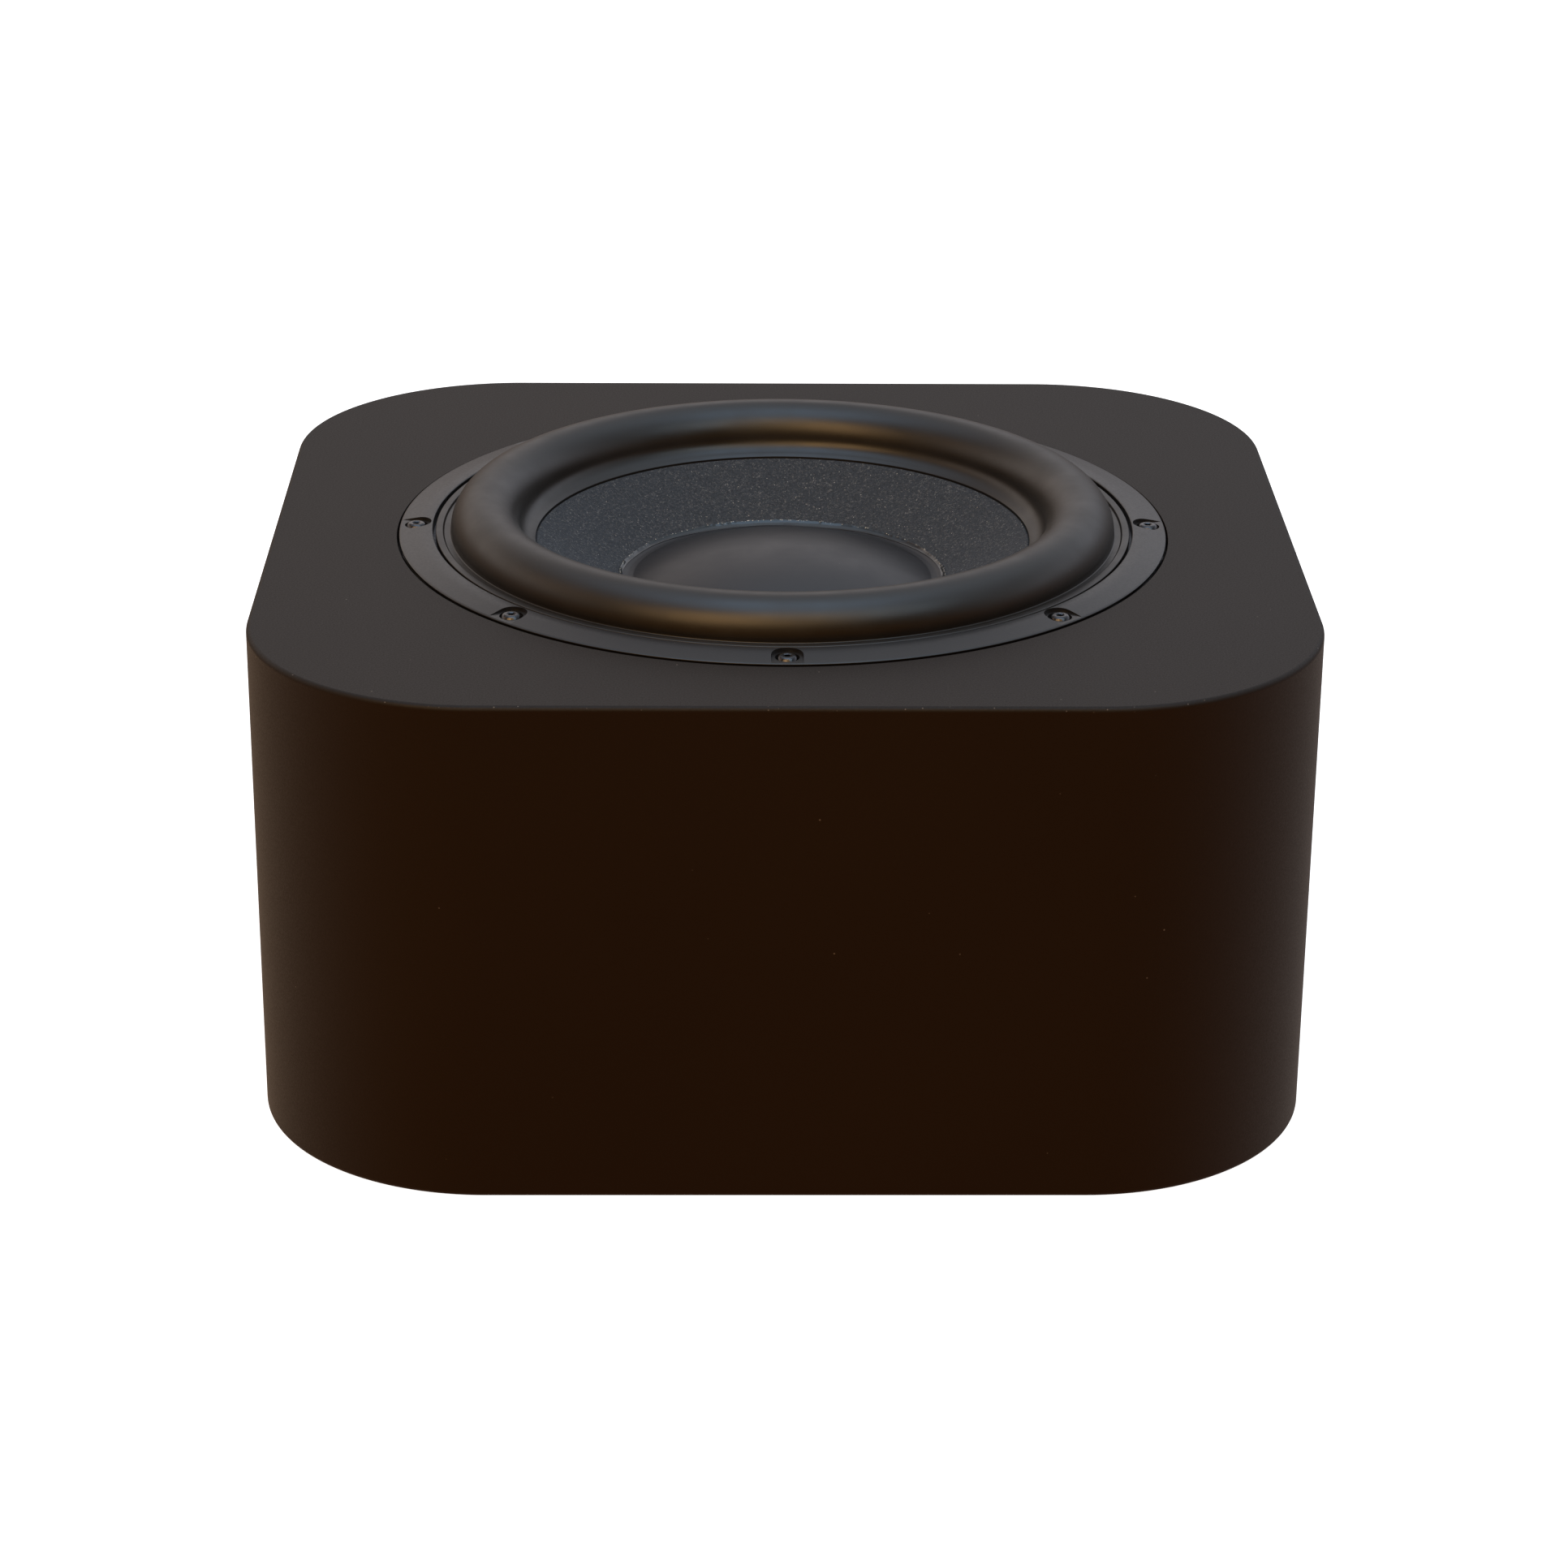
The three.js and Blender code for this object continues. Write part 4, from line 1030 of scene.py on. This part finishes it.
def build_camera():
    yaw, pitch, roll = (math.radians(v) for v in (CAMERA_YAW, CAMERA_PITCH, CAMERA_ROLL))
    forward = Vector((math.sin(yaw) * math.cos(pitch), math.cos(yaw) * math.cos(pitch), -math.sin(pitch)))
    level = Vector((math.cos(yaw), -math.sin(yaw), 0))
    upright = level.cross(forward)
    right = level * math.cos(roll) + upright * math.sin(roll)
    up = -level * math.sin(roll) + upright * math.cos(roll)
    camera = add_object("camera", bpy.data.cameras.new("camera"))
    camera.data.sensor_width = SENSOR_WIDTH
    camera.data.lens = CAMERA_LENS
    camera.data.clip_end = FAR_CLIP
    place = Matrix.Translation((Vector(CAMERA_PLACE) + Vector((0, 0, TOP))) * MM)
    camera.matrix_world = place @ Matrix((right, up, -forward)).transposed().to_4x4()
    bpy.context.scene.camera = camera


def build_floor():
    """A plain white floor. It throws no light back on the object."""
    reach = 20000
    corners = [(-reach, -reach, 0), (reach, -reach, 0), (reach, reach, 0), (-reach, reach, 0)]
    floor = new_object("floor", corners, [(0, 1, 2, 3)])
    paint = Paint("floor_white", (0.8, 0.8, 0.8), 1.0, specular=0.0)
    paint.shader.inputs["Emission Color"].default_value = (1, 1, 1, 1)
    paint.shader.inputs["Emission Strength"].default_value = 1.0
    floor.data.materials.append(paint.material)
    floor.visible_diffuse = False
    floor.visible_glossy = False


# Heights run from 0 straight down, by 0.5 at the horizon, to 1 straight up.
SKY_HEIGHTS = (0.3, 0.53, 0.67, 0.82, 0.95)
SKY = {
    "front": (
        (0.34, 0.1, 0.02), (0.2, 0.07, 0.01), (0.08, 0.05, 0.02), (0.04, 0.04, 0.04), (0.05, 0.05, 0.06),
    ),
    "left": (
        (0.75, 0.52, 0.36), (0.15, 0.1, 0.07), (1.08, 0.95, 0.87), (0.2, 0.14, 0.11), (0.75, 0.85, 1.0),
    ),
    "right": (
        (0.6, 0.5, 0.45), (0.15, 0.14, 0.15), (0.9, 0.93, 1.03), (0.38, 0.42, 0.48), (0.8, 0.92, 1.05),
    ),
}
# How far along X, Y and Z the room's colours run into each other.
SKY_BLEND = (0.5, 0.6, 1.0)


def sky_ramp(nodes, height, name, *colors):
    """Colour by height, at each of SKY_HEIGHTS."""
    ramp = nodes.new("ShaderNodeValToRGB")
    ramp.name = name
    stops = ramp.color_ramp.elements
    for place in SKY_HEIGHTS[1:-1]:
        stops.new(place)
    for stop, place, color in zip(stops, SKY_HEIGHTS, colors):
        stop.position = place
        stop.color = (*color, 1)
    nodes.id_data.links.new(height, ramp.inputs[0])
    return ramp.outputs[0]


def mix_colors(nodes, share, first, second):
    node = nodes.new("ShaderNodeMix")
    node.data_type = "RGBA"
    for value, socket in ((share, "Factor"), (first, 6), (second, 7)):
        nodes.id_data.links.new(value, node.inputs[socket])
    return node.outputs[2]


def build_world():
    """White to the camera, and to everything else a soft room that is dim in front.

    Behind the object the room is warmer on the left and cooler on the right."""
    world = bpy.data.worlds.new("studio")
    bpy.context.scene.world = world
    world.use_nodes = True
    nodes, links = world.node_tree.nodes, world.node_tree.links
    nodes.clear()
    split = nodes.new("ShaderNodeSeparateXYZ")
    links.new(nodes.new("ShaderNodeTexCoord").outputs["Generated"], split.inputs[0])
    shares = []
    for axis, reach in enumerate(SKY_BLEND):
        share = nodes.new("ShaderNodeMapRange")
        share.inputs[1].default_value, share.inputs[2].default_value = -reach, reach
        links.new(split.outputs[axis], share.inputs[0])
        shares.append(share.outputs[0])
    rightward, backward, height = shares
    sky = {name: sky_ramp(nodes, height, name, *colors) for name, colors in SKY.items()}
    behind = mix_colors(nodes, rightward, sky["left"], sky["right"])
    room = mix_colors(nodes, backward, sky["front"], behind)
    lit, seen = nodes.new("ShaderNodeBackground"), nodes.new("ShaderNodeBackground")
    links.new(room, lit.inputs[0])
    seen.inputs[0].default_value = (1, 1, 1, 1)
    choose = nodes.new("ShaderNodeMixShader")
    links.new(nodes.new("ShaderNodeLightPath").outputs["Is Camera Ray"], choose.inputs[0])
    links.new(lit.outputs[0], choose.inputs[1])
    links.new(seen.outputs[0], choose.inputs[2])
    links.new(choose.outputs[0], nodes.new("ShaderNodeOutputWorld").inputs[0])


# Each lamp is azimuth and elevation in degrees, width in metres, watts and colour.
LAMPS = {
    "overhead": (270, 86, 2.4, 15.5, (0.55, 0.8, 1.1)),
    "warm": (240, 38, 2.0, 20, (1.0, 0.6, 0.27)),
    "front": (270, 47, 2.4, 14.5, (1.0, 0.61, 0.24)),
    "spark": (271, 58, 0.4, 2, (1.0, 0.85, 0.65)),
    "front_right": (315, 50, 1.6, 9, (0.62, 0.8, 0.94)),
    "left": (180, 35, 1.6, 2, (1.0, 0.55, 0.25)),
}
LAMP_DISTANCE = 3.0  # metres, from the middle of the cabinet's top


def build_lights():
    middle = Vector((0, 0, TOP * MM))
    for name, (azimuth, elevation, width, watts, color) in LAMPS.items():
        lamp = bpy.data.lights.new(name, "AREA")
        lamp.shape = "DISK"
        lamp.size = width
        lamp.energy = watts
        lamp.color = color
        obj = add_object(name, lamp)
        around, up = math.radians(azimuth), math.radians(elevation)
        away = Vector((math.cos(around) * math.cos(up), math.sin(around) * math.cos(up), math.sin(up)))
        obj.location = middle + away * LAMP_DISTANCE
        obj.rotation_euler = away.to_track_quat("Z", "Y").to_euler()
        obj.visible_camera = False


def build_all():
    build_camera()
    build_floor()
    build_world()
    build_lights()
    build_cabinet()
    build_trim_ring()
    build_ring_screws()
    build_surround()
    build_cone()
    build_dust_cap()
    build_glue_bead()
    build_spider()
    build_tinsel_leads()
    build_panel()
    build_heat_sink()
    build_dials()
    build_jacks()
    build_inlet()
    build_rocker()
    build_phase_switch()
    build_light()
    build_plate_screws()
    build_feet()
    dress_carried_over()
    bpy.context.scene.view_settings.view_transform = "Standard"


build_all()
